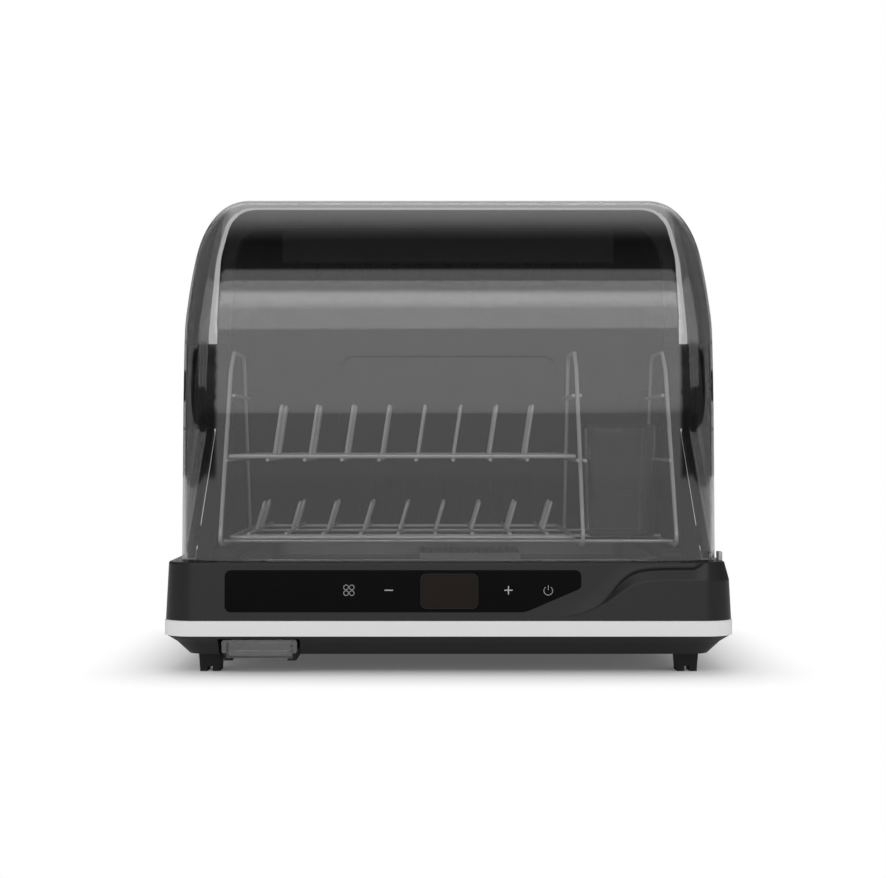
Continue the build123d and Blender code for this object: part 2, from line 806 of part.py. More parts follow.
def make_heater_fins():
    # two ceramic bars with thin fins across them
    inner = fan_half - heater_frame_wall - fit_gap
    low = fan_top + grille_thick
    high = heater_top - grille_thick
    pieces = []
    for side in (-1, 1):
        y = fan_y + side * fan_half / 3
        pieces.append(block(fan_x - inner, fan_x + inner, y - heater_bar / 2, y + heater_bar / 2, low, high))
    count = int(inner // heater_fin_pitch)
    for number in range(-count, count + 1):
        x = fan_x + number * heater_fin_pitch
        pieces.append(block(x - heater_fin_thick / 2, x + heater_fin_thick / 2,
                            fan_y - inner, fan_y + inner, low, high))
    return fused(pieces)


def make_air_duct():
    # carries the warm air from the heater up to the tub's outlet
    top = tub_floor_top - tub_wall
    duct = block(fan_x - fan_half, fan_x + fan_half, fan_y - fan_half, fan_y + fan_half, heater_top, top)
    inner = fan_half - duct_wall
    return duct - block(fan_x - inner, fan_x + inner, fan_y - inner, fan_y + inner, heater_top - past, top + past)


def make_thermal_fuse():
    # a bimetal cut-out clipped on the duct's front wall
    y = fan_y - fan_half - fuse_radius * 2
    return disc_y(2 * fuse_radius, y, fan_y - fan_half, fan_x, (heater_top + tub_floor_top) / 2)


# ======== boards and other electrics ========

def make_power_board():
    floor = pan_bottom + pan_wall
    low = floor + standoff_height
    half_x = power_board_width / 2
    half_y = power_board_depth / 2
    board = block(power_board_x - half_x, power_board_x + half_x, power_board_y - half_y,
                  power_board_y + half_y, low, low + board_thick)
    for x_side in (-1, 1):
        for y_side in (-1, 1):
            x = power_board_x + x_side * (half_x - 2 * standoff_radius)
            y = power_board_y + y_side * (half_y - 2 * standoff_radius)
            board = board + disc_z(standoff_radius, floor, low, x, y)
    top = low + board_thick
    board = board + disc_z(choke_radius, top, top + relay_size, power_board_x - half_x / 2, power_board_y)
    board = board + block(power_board_x + 4, power_board_x + 4 + relay_size, power_board_y - relay_size,
                          power_board_y + relay_size / 2, top, top + relay_size)
    return board


def make_uv_ballast():
    floor = pan_bottom + pan_wall
    return rounded_box(ballast_x - ballast_width / 2, ballast_x + ballast_width / 2,
                       ballast_y - ballast_depth / 2, ballast_y + ballast_depth / 2, fuse_radius,
                       floor, floor + ballast_height)


def make_cord_gland():
    # a strain-relief bush through the base's rear wall, its face just inside the outline
    outer = base_depth / 2 - gland_inset
    inner = outer - gland_length
    gland = disc_y(gland_radius, inner, outer, inlet_x, inlet_z)
    gland = gland + disc_y(gland_flange_radius, inner, inner + gland_flange, inlet_x, inlet_z)
    return gland - disc_y(cord_bore_radius, 0, base_depth, inlet_x, inlet_z)


# ======== visor ========

def visor_profile(inside):
    # the visor's side view, drawn in by inside: straight front, brow, nearly flat crown
    front_y = visor_front + inside
    front_turn = math.radians(visor_front_turn)
    brow_turn = math.radians(visor_brow_turn)
    start = (front_y, visor_straight_top)
    front_r = visor_front_radius - inside
    brow_r = visor_brow_radius - inside
    crown_r = visor_crown_radius - inside
    centre_y = front_y + front_r

    def on_arc(centre, radius, turn):
        return (centre[0] - radius * math.cos(turn), centre[1] + radius * math.sin(turn))

    front_centre = (centre_y, visor_straight_top)
    brow_start = on_arc(front_centre, front_r, front_turn)
    brow_centre = (brow_start[0] + brow_r * math.cos(front_turn), brow_start[1] - brow_r * math.sin(front_turn))
    crown_start = on_arc(brow_centre, brow_r, brow_turn)
    crown_centre = (crown_start[0] + crown_r * math.cos(brow_turn), crown_start[1] - crown_r * math.sin(brow_turn))
    crown_end = on_arc(crown_centre, crown_r, math.pi / 2)
    bottom = visor_bottom if inside == 0 else visor_bottom - visor_overlap
    edges = [
        Line((front_y, bottom), start),
        ThreePointArc(start, on_arc(front_centre, front_r, front_turn / 2), brow_start),
        ThreePointArc(brow_start, on_arc(brow_centre, brow_r, (front_turn + brow_turn) / 2), crown_start),
        ThreePointArc(crown_start, on_arc(crown_centre, crown_r, (brow_turn + math.pi / 2) / 2), crown_end),
        Line(crown_end, (housing_radius, crown_end[1])),
        Line((housing_radius, crown_end[1]), (housing_radius, bottom)),
        Line((housing_radius, bottom), (front_y, bottom)),
    ]
    return make_face(edges)


def side_wall_points(inside):
    # the visor's front view on the right, from its bottom edge to above its crown
    lean = (visor_half_bend - visor_half_top) / (visor_top_z - visor_bend_z)
    top_z = visor_top_z + visor_overlap
    return (
        (visor_half_low - inside, visor_bottom - visor_overlap),
        (visor_half_hub - inside, visor_hub_bend_z),
        (visor_half_bend - inside, visor_bend_z),
        (visor_half_top - inside - lean * visor_overlap, top_z),
    )


def visor_front_view(inside):
    right = side_wall_points(inside)
    left = tuple((-x, z) for x, z in reversed(right))
    radii = (0,) + tuple(visor_side_radii) + (0, 0) + tuple(reversed(visor_side_radii)) + (0,)
    return make_face(FilletPolyline(*right, *left, radius=radii, close=True).edges())


def visor_form(inside):
    # side view and front view crossed, with the long edge between front and sides rounded
    side_plane = Plane(origin=(-base_width, 0, 0), x_dir=(0, 1, 0), z_dir=(1, 0, 0))
    front_plane = Plane(origin=(0, base_depth, 0), x_dir=(1, 0, 0), z_dir=(0, -1, 0))
    body = extrude(side_plane * visor_profile(inside), 2 * base_width, dir=(1, 0, 0))
    body = body & extrude(front_plane * visor_front_view(inside), 2 * base_depth, dir=(0, -1, 0))
    crown_z = visor_top_z - inside

    def on_long_edge(edge):
        middle = edge @ 0.5
        on_top = middle.Z > crown_z - 2.5
        on_front = middle.Y < housing_radius - 1
        at_side = abs(middle.X) > visor_half_top - visor_edge_radius
        low = min((edge @ 0).Z, (edge @ 1).Z)
        rises = abs((edge @ 0).X - (edge @ 1).X) < visor_edge_radius
        outside = math.hypot(middle.Y - visor_rear_y, middle.Z - hub_z) > liner_radius
        stands_high = low >= visor_bottom - 2 * visor_overlap
        return on_front and at_side and rises and (outside or on_top) and stands_high

    edges = []
    for edge in body.edges():
        ends_at_back = (edge @ 0).Y > housing_radius - 1 and (edge @ 1).Y > housing_radius - 1
        lies_flat = abs((edge @ 0).Z - (edge @ 1).Z) < 0.01 and (edge @ 0).Z < visor_straight_top
        if on_long_edge(edge) and not ends_at_back and not lies_flat:
            edges.append(edge)
    return fillet(edges, visor_edge_radius - inside)


def field_prism(grow):
    # the recessed field's outline, run through the visor's front
    half = window_half + grow
    centre_z = (window_top + grow + visor_bottom - base_depth) / 2
    height = window_top + grow - (visor_bottom - base_depth)
    plane = Plane(origin=(0, -base_depth / 4, centre_z), x_dir=(1, 0, 0), z_dir=(0, -1, 0))
    return extrude(plane * RectangleRounded(2 * half, height, field_corner + grow), base_depth)


def make_lid_visor():
    outer = visor_form(0)
    inner = visor_form(visor_wall)
    shell = outer - inner
    pad = visor_form(visor_wall - 0.01) & (field_prism(field_step))
    pad = pad - visor_form(visor_wall + field_step)
    keep_above = block(-base_width, base_width, -base_depth, base_depth, visor_bottom, visor_top_z + past)
    shell = shell + (pad & keep_above)
    shell = shell - ((visor_form(-1) - visor_form(field_step)) & field_prism(0))
    slant_low = (visor_front + visor_edge_radius, visor_bottom)
    slant_high = (visor_rear_y, cheek_top_z - visor_overlap)
    below = visor_bottom - 2 * visor_overlap
    above = visor_top_z + visor_overlap
    behind = side_region(
        [(visor_rear_y, above), (visor_rear_y, hub_z), slant_high, slant_low,
         (slant_low[0], below), (base_depth, below), (base_depth, above)],
        -base_width, base_width)
    ear = disc_x(cap_radius - 2, -base_width, base_width, 0, hub_z)
    ear = ear & (outer - inner)
    shell = (shell - behind) + ear
    shell = shell - disc_x(cap_spigot_radius + spigot_gap, -base_width, base_width, 0, hub_z)
    grip_y = visor_front + field_step
    plane = Plane(origin=(0, grip_y + field_step, grip_z), x_dir=(1, 0, 0), z_dir=(0, -1, 0))
    grip = extrude(plane * SlotOverall(2 * grip_half, grip_height), grip_proud + field_step)
    return shell + grip


# ======== hubs: caps, rings, pins, bushes, bosses and dampers ========

visor_side_x = visor_half_low + (visor_half_hub - visor_half_low) * (
    (hub_z - visor_bottom) / (visor_hub_bend_z - visor_bottom))
cap_inner_x = visor_side_x + 0.5
ring_outer_x = visor_side_x - visor_wall - 0.5
ring_inner_x = ring_outer_x - ring_thick
boss_outer_x = ring_inner_x - face_gap
boss_inner_x = housing_half
sleeve_inner_x = housing_half - housing_wall
cap_outer_x = cap_inner_x + cap_rim + cap_step
pin_outer_x = cap_outer_x - cap_step
drum_inner_x = liner_half + seat_gap
damper_inner_x = drum_inner_x + drum_wall
pin_inner_x = damper_inner_x + face_gap


def make_hub_cap():
    # a round black cap, stepped towards its middle, with a spigot through the visor's side
    cap = disc_x(cap_radius, cap_inner_x, cap_inner_x + cap_rim, 0, hub_z)
    cap = chamfer(cap.edges().filter_by(GeomType.CIRCLE), 1.0)
    cap = cap + disc_x(cap_step_radius, cap_inner_x, cap_outer_x, 0, hub_z)
    cap = cap - disc_x(cap_dish_radius, cap_outer_x - cap_step / 2, cap_outer_x + past, 0, hub_z)
    cap = cap + disc_x(cap_spigot_radius, ring_outer_x, cap_inner_x, 0, hub_z)
    return cap - disc_x(pin_radius + fit_gap, 0, pin_outer_x, 0, hub_z)


def make_hub_ring():
    ring = disc_x(ring_radius, ring_inner_x, ring_outer_x, 0, hub_z)
    return ring - disc_x(pin_radius + fit_gap, 0, base_width, 0, hub_z)


def make_hinge_pin():
    return disc_x(pin_radius, pin_inner_x, pin_outer_x - fit_gap, 0, hub_z)


def make_hinge_bush():
    bush = disc_x(pin_radius + bush_wall, sleeve_inner_x, boss_outer_x, 0, hub_z)
    return bush - disc_x(pin_radius + fit_gap, 0, base_width, 0, hub_z)


def make_hub_boss():
    # the fixed black disc between the housing's side and the visor
    sleeve_radius = pin_radius + bush_wall + boss_sleeve_wall
    boss = disc_x(boss_radius, boss_inner_x, boss_outer_x, 0, hub_z)
    boss = boss + disc_x(sleeve_radius, sleeve_inner_x, boss_inner_x, 0, hub_z)
    return boss - disc_x(pin_radius + bush_wall + fit_gap, 0, base_width, 0, hub_z)


def make_hinge_damper():
    # a friction damper round the pin, inside the double wall
    damper = disc_x(damper_radius, damper_inner_x, sleeve_inner_x, 0, hub_z)
    return damper - disc_x(pin_radius + fit_gap, 0, base_width, 0, hub_z)


# ======== housing, liner and cheeks ========

def swept_outline(half, radius, edge_radius):
    # a shape's outline about the hub axis, as (x, distance from the axis)
    shoulder_half = half - (visor_half_hub - visor_half_bend) + lid_gap
    right = (
        (half, 0.0),
        (half, housing_shoulder),
        (shoulder_half, visor_bend_z - hub_z),
        (shoulder_half - visor_overlap, radius),
    )
    left = tuple((-x, r) for x, r in reversed(right))
    bends = (0, housing_shoulder, housing_shoulder, edge_radius)
    edges = FilletPolyline(*right, *left, radius=bends + tuple(reversed(bends)), close=True).edges()
    return make_face(edges)


def turned_form(half, radius, edge_radius, front_y):
    # a shape swept about the hub axis down to its height, running forward to front_y
    outline = swept_outline(half, radius, edge_radius)
    hub_plane = Plane(origin=(0, 0, hub_z), x_dir=(1, 0, 0), z_dir=(0, -1, 0))
    turned = revolve(hub_plane * outline, Axis((0, 0, hub_z), (-1, 0, 0)), 180)
    lead = extrude(hub_plane * outline, -front_y, dir=(0, -1, 0))
    return (turned & block(-base_width, base_width, 0, base_depth, hub_z, visor_top_z)) + lead


def housing_form(inside, front_y):
    # the housing narrows behind the hubs all the way down
    half = housing_half - inside
    radius = housing_radius - inside
    edge_radius = housing_edge_radius - inside
    plan = swept_outline(half, radius, edge_radius)
    straight = extrude(Pos(0, 0, deck_top) * plan, hub_z - deck_top, dir=(0, 0, 1))
    return turned_form(half, radius, edge_radius, front_y) + straight


def liner_form(inside, front_y):
    # the liner narrows only above the hubs, and is a plain rounded box below them
    half = liner_half - inside
    radius = liner_radius - inside
    edge_radius = liner_edge_radius - inside
    corners = ((half, 0.0), (half, radius), (-half, radius), (-half, 0.0))
    plan = make_face(FilletPolyline(*corners, radius=(0, edge_radius, edge_radius, 0), close=True).edges())
    straight = extrude(Pos(0, 0, deck_top) * plan, hub_z - deck_top - inside, dir=(0, 0, 1))
    neck = Pos(0, 0, hub_z - 2 * liner_wall) * swept_outline(half, radius, edge_radius)
    joint = extrude(neck, 2 * liner_wall, dir=(0, 0, 1))
    return turned_form(half, radius, edge_radius, front_y) + straight + joint


def hub_drums(radius, x_low, x_high):
    right = disc_x(radius, x_low, x_high, 0, hub_z)
    return right + mirror(right, about=Plane.YZ)


def vent_slots(centre_z, y_low, y_high):
    slots = []
    for number in range(-vent_count, vent_count + 1):
        plane = Plane(origin=(number * vent_pitch, y_high, centre_z), x_dir=(0, 0, 1), z_dir=(0, -1, 0))
        slots.append(extrude(plane * SlotOverall(vent_height, vent_width), y_high - y_low, dir=(0, -1, 0)))
    return fused(slots)


def make_rear_housing():
    housing = housing_form(0, housing_front_y)
    hollow = housing_form(housing_wall, housing_front_y + housing_flange)
    hollow = hollow + hub_drums(drum_radius - drum_wall, damper_inner_x, sleeve_inner_x)
    passage = liner_form(-seat_gap, housing_front_y - past)
    housing = housing + hub_drums(drum_radius, drum_inner_x, housing_half) - hollow
    inner_disc = hub_drums(drum_radius, drum_inner_x, damper_inner_x)
    housing = (housing - passage) + inner_disc
    sleeve = pin_radius + bush_wall + boss_sleeve_wall + fit_gap
    housing = housing - hub_drums(sleeve, sleeve_inner_x - past, housing_half + past)
    for x in housing_screw_places:
        housing = housing + block(x - housing_boss_half, x + housing_boss_half, liner_radius + 2 * seat_gap,
                                  housing_radius - housing_wall / 2, deck_top, deck_top + 2 * screw_length)
        housing = housing - disc_z(screw_radius, deck_top, deck_top + screw_length, x, housing_screw_y)
    return housing - vent_slots(vent_z, housing_radius - 2 * housing_wall, housing_radius + past)


def make_inner_liner():
    outer = liner_form(0, housing_front_y)
    inner = liner_form(liner_wall, housing_front_y - past)
    return outer - inner - vent_slots(liner_vent_z, liner_radius - 2 * liner_wall, liner_radius + past)


def make_rear_vent():
    # the louvred cover over the outlet slots
    half = vent_count * vent_pitch + vent_frame
    cover = block(-half, half, housing_radius + fit_gap, housing_radius + vent_proud,
                  vent_z - vent_height / 2 - vent_frame, vent_z + vent_height / 2 + vent_frame)
    return cover - vent_slots(vent_z, housing_radius - past, housing_radius + vent_proud + past)


def cheek_outline(inside):
    slope = math.atan2(cheek_top_z - deck_top, housing_front_y - cheek_front_y)
    shift = inside / math.sin(slope)
    top = cheek_top_z + (0 - housing_front_y) * math.tan(slope) - shift * math.tan(slope)
    return [(cheek_front_y + shift, deck_top), (0, top), (0, deck_top)]


def make_side_cheek():
    # the fixed double wall in front of the housing, cut off along a slant
    cheek = side_region(cheek_outline(0), liner_half - liner_wall, housing_half)
    hollow = side_region(cheek_outline(cheek_wall), liner_half - liner_wall + cheek_wall,
                         housing_half - cheek_wall)
    return cheek - hollow - disc_x(drum_radius + seat_gap, 0, base_width, 0, hub_z)


def make_rack_sill():
    # the rounded ledge along each side that the rack stand rests on
    outer = liner_half - liner_wall - seat_gap
    sill = block(sill_inner, outer, cheek_front_y + sill_round, sill_back_y, deck_top, deck_top + sill_height)
    near = sill.edges().filter_by(Axis.Y).filter_by(
        lambda e: (e @ 0).Z > deck_top + past and (e @ 0).X < sill_inner + past)
    front = sill.edges().filter_by(Axis.X).filter_by(
        lambda e: (e @ 0).Z > deck_top + past and (e @ 0).Y < cheek_front_y + sill_round + past)
    return fillet(list(near) + list(front), sill_round)


def make_lid_arm():
    # a black arm inside the visor's side, from the hub along its slanted lower edge
    low = (visor_front + visor_edge_radius, visor_bottom)
    high = (visor_rear_y, cheek_top_z - visor_overlap)
    slope = math.atan2(high[1] - low[1], high[0] - low[0])
    across = (-arm_width * math.sin(slope), arm_width * math.cos(slope))
    inner_x = visor_side_x - visor_wall - arm_thick - face_gap
    outline = [low, high, (high[0] + across[0], high[1] + across[1]), (low[0] + across[0], low[1] + across[1])]
    arm = side_region(outline, inner_x, inner_x + arm_thick)
    along = (math.cos(slope), math.sin(slope))
    near = (low[0] + arm_leaf_start * along[0], low[1] + arm_leaf_start * along[1])
    far = (low[0] + arm_leaf_length * along[0], low[1] + arm_leaf_length * along[1])
    leaf_outline = [near, far, (far[0] + across[0], far[1] + across[1]), (near[0] + across[0], near[1] + across[1])]
    leaf = side_region(leaf_outline, inner_x - arm_leaf, inner_x)
    return arm + leaf - disc_x(boss_radius + seat_gap, 0, base_width, 0, hub_z)


# ======== ultraviolet lamp ========

lamp_turn = math.radians(lamp_angle)
lamp_y = lamp_orbit * math.cos(lamp_turn)
lamp_z = hub_z + lamp_orbit * math.sin(lamp_turn)


def make_uv_tube():
    return disc_x(lamp_radius, -lamp_half, lamp_half, lamp_y, lamp_z)


def make_lamp_holder():
    # an end cap on the tube, hung from the liner
    low = lamp_half - holder_length / 2
    holder = disc_x(lamp_radius + liner_wall, low, low + holder_length, lamp_y, lamp_z)
    reach = liner_radius - liner_wall - lamp_orbit - seat_gap
    stem = block(low, low + holder_length, lamp_y - lamp_radius / 2, lamp_y + lamp_radius / 2,
                 lamp_z, lamp_z + reach + lamp_radius)
    limit = disc_x(liner_radius - liner_wall - seat_gap, low, low + holder_length, 0, hub_z)
    holder = (holder + stem) & limit
    return holder - disc_x(lamp_radius + fit_gap, 0, lamp_half + fit_gap, lamp_y, lamp_z)


def make_uv_guard():
    # a slotted channel in front of the tube that hides it from the door
    half = lamp_half + holder_length
    ring = disc_x(guard_radius, -half, half, 0, hub_z) - disc_x(guard_radius - guard_wall, -half, half, 0, hub_z)
    far = 2 * guard_radius
    start = math.radians(guard_start)
    end = math.radians(guard_end)
    wedge = side_region([(0, hub_z), (far * math.cos(start), hub_z + far * math.sin(start)),
                         (far * math.cos(end), hub_z + far * math.sin(end))], -half, half)
    guard = ring & wedge
    top = hub_z + math.sqrt((liner_radius - liner_wall - seat_gap) ** 2 - guard_lip_y ** 2)
    lip_low = hub_z + guard_radius - guard_wall
    guard = guard + block(-half, half, guard_lip_y - guard_wall, guard_lip_y, lip_low, top)
    guard = guard + block(-half, half, guard_lip_y - guard_wall, guard_wall, lip_low,
                          hub_z + guard_radius)
    count = int(half // guard_slot_pitch)
    for number in range(-count + 1, count):
        x = number * guard_slot_pitch
        guard = guard - block(x - guard_slot, x + guard_slot, guard_slot, far,
                              hub_z, hub_z + guard_radius + past)
    return guard


# ======== wire racks ========

rack_foot_z = deck_top + sill_height + seat_gap + frame_wire / 2


def side_frame_points():
    return [(y, rack_foot_z + rise) for y, rise in frame_points]


def make_side_frame(x):
    # one closed loop of wire in the side view, in two halves that meet end to end
    points = side_frame_points()
    foot_middle = ((points[0][0] + points[-1][0]) / 2, points[0][1])
    top_middle = ((points[2][0] + points[3][0]) / 2, points[2][1])
    front = [foot_middle, points[0], points[1], points[2], top_middle]
    back = [top_middle, points[3], points[4], foot_middle]
    loop = wire([(x, y, z) for y, z in front], frame_bends[:3], frame_wire)
    return loop + wire([(x, y, z) for y, z in back], frame_bends[3:], frame_wire)


def back_leg_y(z):
    # where the side frames' rear leg stands at a height
    low, high = frame_points[4], frame_points[3]
    share = (z - rack_foot_z - low[1]) / (high[1] - low[1])
    return low[0] + share * (high[0] - low[0])


def make_rack_stand():
    stand = make_side_frame(-rack_half)
    stand = stand + make_side_frame(rack_half)
    stand = stand + make_side_frame(divider_x)
    weld = (frame_wire + rod_wire) / 2 - seat_gap
    for y in cross_places:
        z = rack_foot_z + weld
        stand = stand + rod((-rack_half, y, z), (rack_half, y, z), rod_wire)
    for rise in rail_levels:
        z = rack_foot_z + rise
        back_y = back_leg_y(z) + rod_wire
        for x in (-rack_half + weld, divider_x - weld, divider_x + weld, rack_half - weld):
            front_y = rod_front_y if rise == rail_levels[0] else rod_front_y + rail_levels[1] - rail_levels[0]
            stand = stand + rod((x, front_y, z), (x, back_y, z), rod_wire)
    return stand


upper_z = rack_foot_z + rail_levels[0] + (rod_wire + frame_wire) / 2 + seat_gap


def make_upper_rack():
    # a rounded rim with cross wires that carry the rows of prongs
    corners = [(upper_left_x, upper_front_y, upper_z), (upper_left_x, upper_back_y, upper_z),
               (upper_right_x, upper_back_y, upper_z), (upper_right_x, upper_front_y, upper_z)]
    middle = ((upper_left_x + upper_right_x) / 2, upper_front_y, upper_z)
    back_middle = (middle[0], upper_back_y, upper_z)
    rack = wire([middle, corners[0], corners[1], back_middle], upper_bend, frame_wire)
    rack = rack + wire([back_middle, corners[2], corners[3], middle], upper_bend, frame_wire)
    weld = (frame_wire + rod_wire) / 2 - seat_gap
    for number in range(prong_count):
        x = prong_first_x + number * prong_pitch
        rack = rack + make_prong_wire(x, upper_z - weld, upper_front_y, upper_back_y, prong_height, rod_wire)
    for y in (prong_front_y, prong_back_y):
        start = (upper_left_x, y, upper_z)
        rack = rack + rod(start, (upper_right_x, y, upper_z), rod_wire)
    return rack


prong_front_y = prong_back_y - 2 * prong_reach


def make_prong_wire(x, z, front_y, back_y, height, thickness):
    # a wire from front to back that rises in two leaning prongs
    tip_x = x + prong_lean
    run = rod((x, front_y, z), (x, back_y, z), thickness)
    for y in (prong_front_y, prong_back_y):
        near = (x, y - prong_bend, z)
        peak_near = (tip_x, y - prong_bend, z + height)
        peak_far = (tip_x, y + prong_bend, z + height)
        far = (x, y + prong_bend, z)
        run = run + wire([near, peak_near, peak_far, far], prong_bend * 0.8, thickness)
    return run


lower_z = rack_foot_z + (frame_wire + rod_wire) / 2 - seat_gap + (rod_wire + frame_wire) / 2 + seat_gap


def make_lower_rack():
    left = -rack_half + 2 * frame_wire
    right = divider_x - 2 * frame_wire
    middle = (left + right) / 2
    rack = wire([(middle, lower_front_y, lower_z), (left, lower_front_y, lower_z), (left, lower_back_y, lower_z),
                 (middle, lower_back_y, lower_z)], upper_bend, frame_wire)
    rack = rack + wire([(middle, lower_back_y, lower_z), (right, lower_back_y, lower_z),
                        (right, lower_front_y, lower_z), (middle, lower_front_y, lower_z)], upper_bend, frame_wire)
    weld = (frame_wire + rod_wire) / 2 - seat_gap
    for number in range(lower_count):
        x = lower_first_x + number * prong_pitch
        rack = rack + make_prong_wire(x, lower_z + weld, lower_front_y, lower_back_y, lower_prong_height, rod_wire)
    return rack


# ======== cutlery basket ========

basket_low_z = rack_foot_z + (frame_wire + rod_wire) / 2 - seat_gap + rod_wire / 2 + seat_gap
basket_high_z = basket_low_z + basket_height


def basket_form(inside, z_low, z_high):
    centre = Pos((basket_left + basket_right) / 2, (basket_front + basket_back) / 2)
    width = basket_right - basket_left - 2 * inside
    depth = basket_back - basket_front - 2 * inside
    foot = Pos(0, 0, z_low) * centre * RectangleRounded(
        width - 2 * basket_taper, depth - 2 * basket_taper, basket_corner - inside)
    head = Pos(0, 0, z_high) * centre * RectangleRounded(width, depth, basket_corner - inside)
    return loft([foot.face(), head.face()], ruled=True)


def make_cutlery_basket():
    basket = basket_form(0, basket_low_z, basket_high_z)
    basket = basket - basket_form(basket_wall, basket_low_z + basket_wall, basket_high_z + past)
    rim = basket_form(-basket_rim, basket_high_z - basket_rim, basket_high_z)
    rim = rim - basket_form(basket_wall / 2, basket_high_z - 2 * basket_rim, basket_high_z + past)
    divider_y = (basket_front + basket_back) / 2
    divider = block(basket_left, basket_right, divider_y - basket_rib / 2, divider_y + basket_rib / 2,
                    basket_low_z, basket_high_z - 2 * basket_rim)
    divider = divider & basket_form(basket_wall / 2, basket_low_z, basket_high_z)
    floor_z = basket_low_z + basket_floor_rise
    floor = basket_form(basket_wall / 2, basket_low_z, basket_high_z) & block(
        basket_left, basket_right, basket_front, basket_back, floor_z, floor_z + basket_wall)
    for row in (-3, -2, -1, 1, 2, 3):
        y = divider_y + row * 2 * basket_corner * 0.7
        floor = floor - block(basket_left + basket_corner, basket_right - basket_corner,
                              y - grille_slot, y + grille_slot, floor_z - past, floor_z + basket_wall + past)
    return basket + rim + divider + floor


# ======== small pieces of the lid switch and seals ========

switch_y = -ring_radius + 2 * pin_radius


def make_lid_magnet():
    return disc_x(magnet_radius, ring_inner_x, ring_outer_x - fit_gap, switch_y, hub_z)


def magnet_pocket():
    return disc_x(magnet_radius + fit_gap, ring_inner_x - past, ring_outer_x + past, switch_y, hub_z)


def make_reed_switch():
    return disc_x(magnet_radius, boss_outer_x - reed_length, boss_outer_x - fit_gap, switch_y, hub_z)


def reed_pocket():
    return disc_x(magnet_radius + fit_gap, boss_outer_x - reed_length - fit_gap, boss_outer_x + past,
                  switch_y, hub_z)


def make_lid_bumpers():
    # rubber buttons on the deck under the visor's front edge
    bumpers = []
    y = visor_front + visor_wall / 2
    for x in bumper_places:
        bumpers.append(disc_z(bumper_radius, deck_top, visor_bottom - seat_gap, x, y))
    return as_group(bumpers)


def make_housing_screws():
    # screws up through the deck into the housing's bosses
    screws = []
    for x in housing_screw_places:
        head_low = deck_top - shell_wall - screw_head
        head = disc_z(screw_head_radius, head_low, deck_top - shell_wall, x, housing_screw_y)
        shank = disc_z(screw_radius - fit_gap, head_low + screw_head / 2, deck_top + screw_length / 2,
                       x, housing_screw_y)
        screws.append(head + shank)
    return as_group(screws)


# ======== the whole part ========

def left(shape):
    return mirror(shape, about=Plane.YZ)


hub_cap = make_hub_cap()
hub_ring = make_hub_ring()
hub_boss = make_hub_boss()
side_cheek = make_side_cheek()
lid_arm = make_lid_arm()

sub_parts = {
    "base_pan": make_base_pan(),
    "silver_trim": make_silver_trim(),
    "base_shell": make_base_shell(),
    "deck_panel": make_deck_panel(),
    "side_latch": make_side_latch(),
    "base_screws": make_base_screws(),
    "feet": make_feet(),
    "foot_pads": make_foot_pads(),
    "control_panel": make_control_panel(),
    "display_window": make_display_window(),
    "display_module": make_display_module(),
    "control_board": make_control_board(),
    "touch_pads": make_touch_pads(),
    "power_board": make_power_board(),
    "uv_ballast": make_uv_ballast(),
    "cord_gland": make_cord_gland(),
    "cord_plate": make_cord_plate(),
    "fan_frame": make_fan_frame(),
    "fan_motor": make_fan_motor(),
    "fan_rotor": make_fan_rotor(),
    "heater_frame": make_heater_frame(),
    "heater_fins": make_heater_fins(),
    "air_duct": make_air_duct(),
    "thermal_fuse": make_thermal_fuse(),
    "drain_tub": make_drain_tub(),
    "outlet_collar": make_outlet_collar(),
    "air_grille": make_air_grille(),
    "drip_drawer": make_drip_drawer(),
    "drawer_rail_left": make_drawer_rail(-1),
    "drawer_rail_right": make_drawer_rail(1),
    "rear_housing": make_rear_housing(),
    "inner_liner": make_inner_liner(),
    "rear_vent": make_rear_vent(),
    "housing_screws": make_housing_screws(),
    "side_cheek_left": left(side_cheek),
    "side_cheek_right": side_cheek,
    "rack_sills": as_group(both_sides(make_rack_sill())),
    "hub_boss_left": left(hub_boss),
    "hub_boss_right": hub_boss - reed_pocket(),
    "hinge_bushes": as_group(both_sides(make_hinge_bush())),
    "hinge_dampers": as_group(both_sides(make_hinge_damper())),
    "reed_switch": make_reed_switch(),
    "uv_tube": make_uv_tube(),
    "lamp_holders": as_group(both_sides(make_lamp_holder())),
    "uv_guard": make_uv_guard(),
    "lid_bumpers": make_lid_bumpers(),
    "rack_stand": make_rack_stand(),
    "lower_rack": make_lower_rack(),
    "lid_visor": make_lid_visor(),
    "lid_arm_left": left(lid_arm),
    "lid_arm_right": lid_arm,
    "hub_cap_left": left(hub_cap),
    "hub_cap_right": hub_cap,
    "hub_ring_left": left(hub_ring),
    "hub_ring_right": hub_ring - magnet_pocket(),
    "lid_magnet": make_lid_magnet(),
    "hinge_pins": as_group(both_sides(make_hinge_pin())),
    "upper_rack": make_upper_rack(),
    "cutlery_basket": make_cutlery_basket(),
}

for node, shape in sub_parts.items():
    save(node, shape)
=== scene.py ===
import json
import math
import bmesh
import bpy
from mathutils import Matrix, Vector


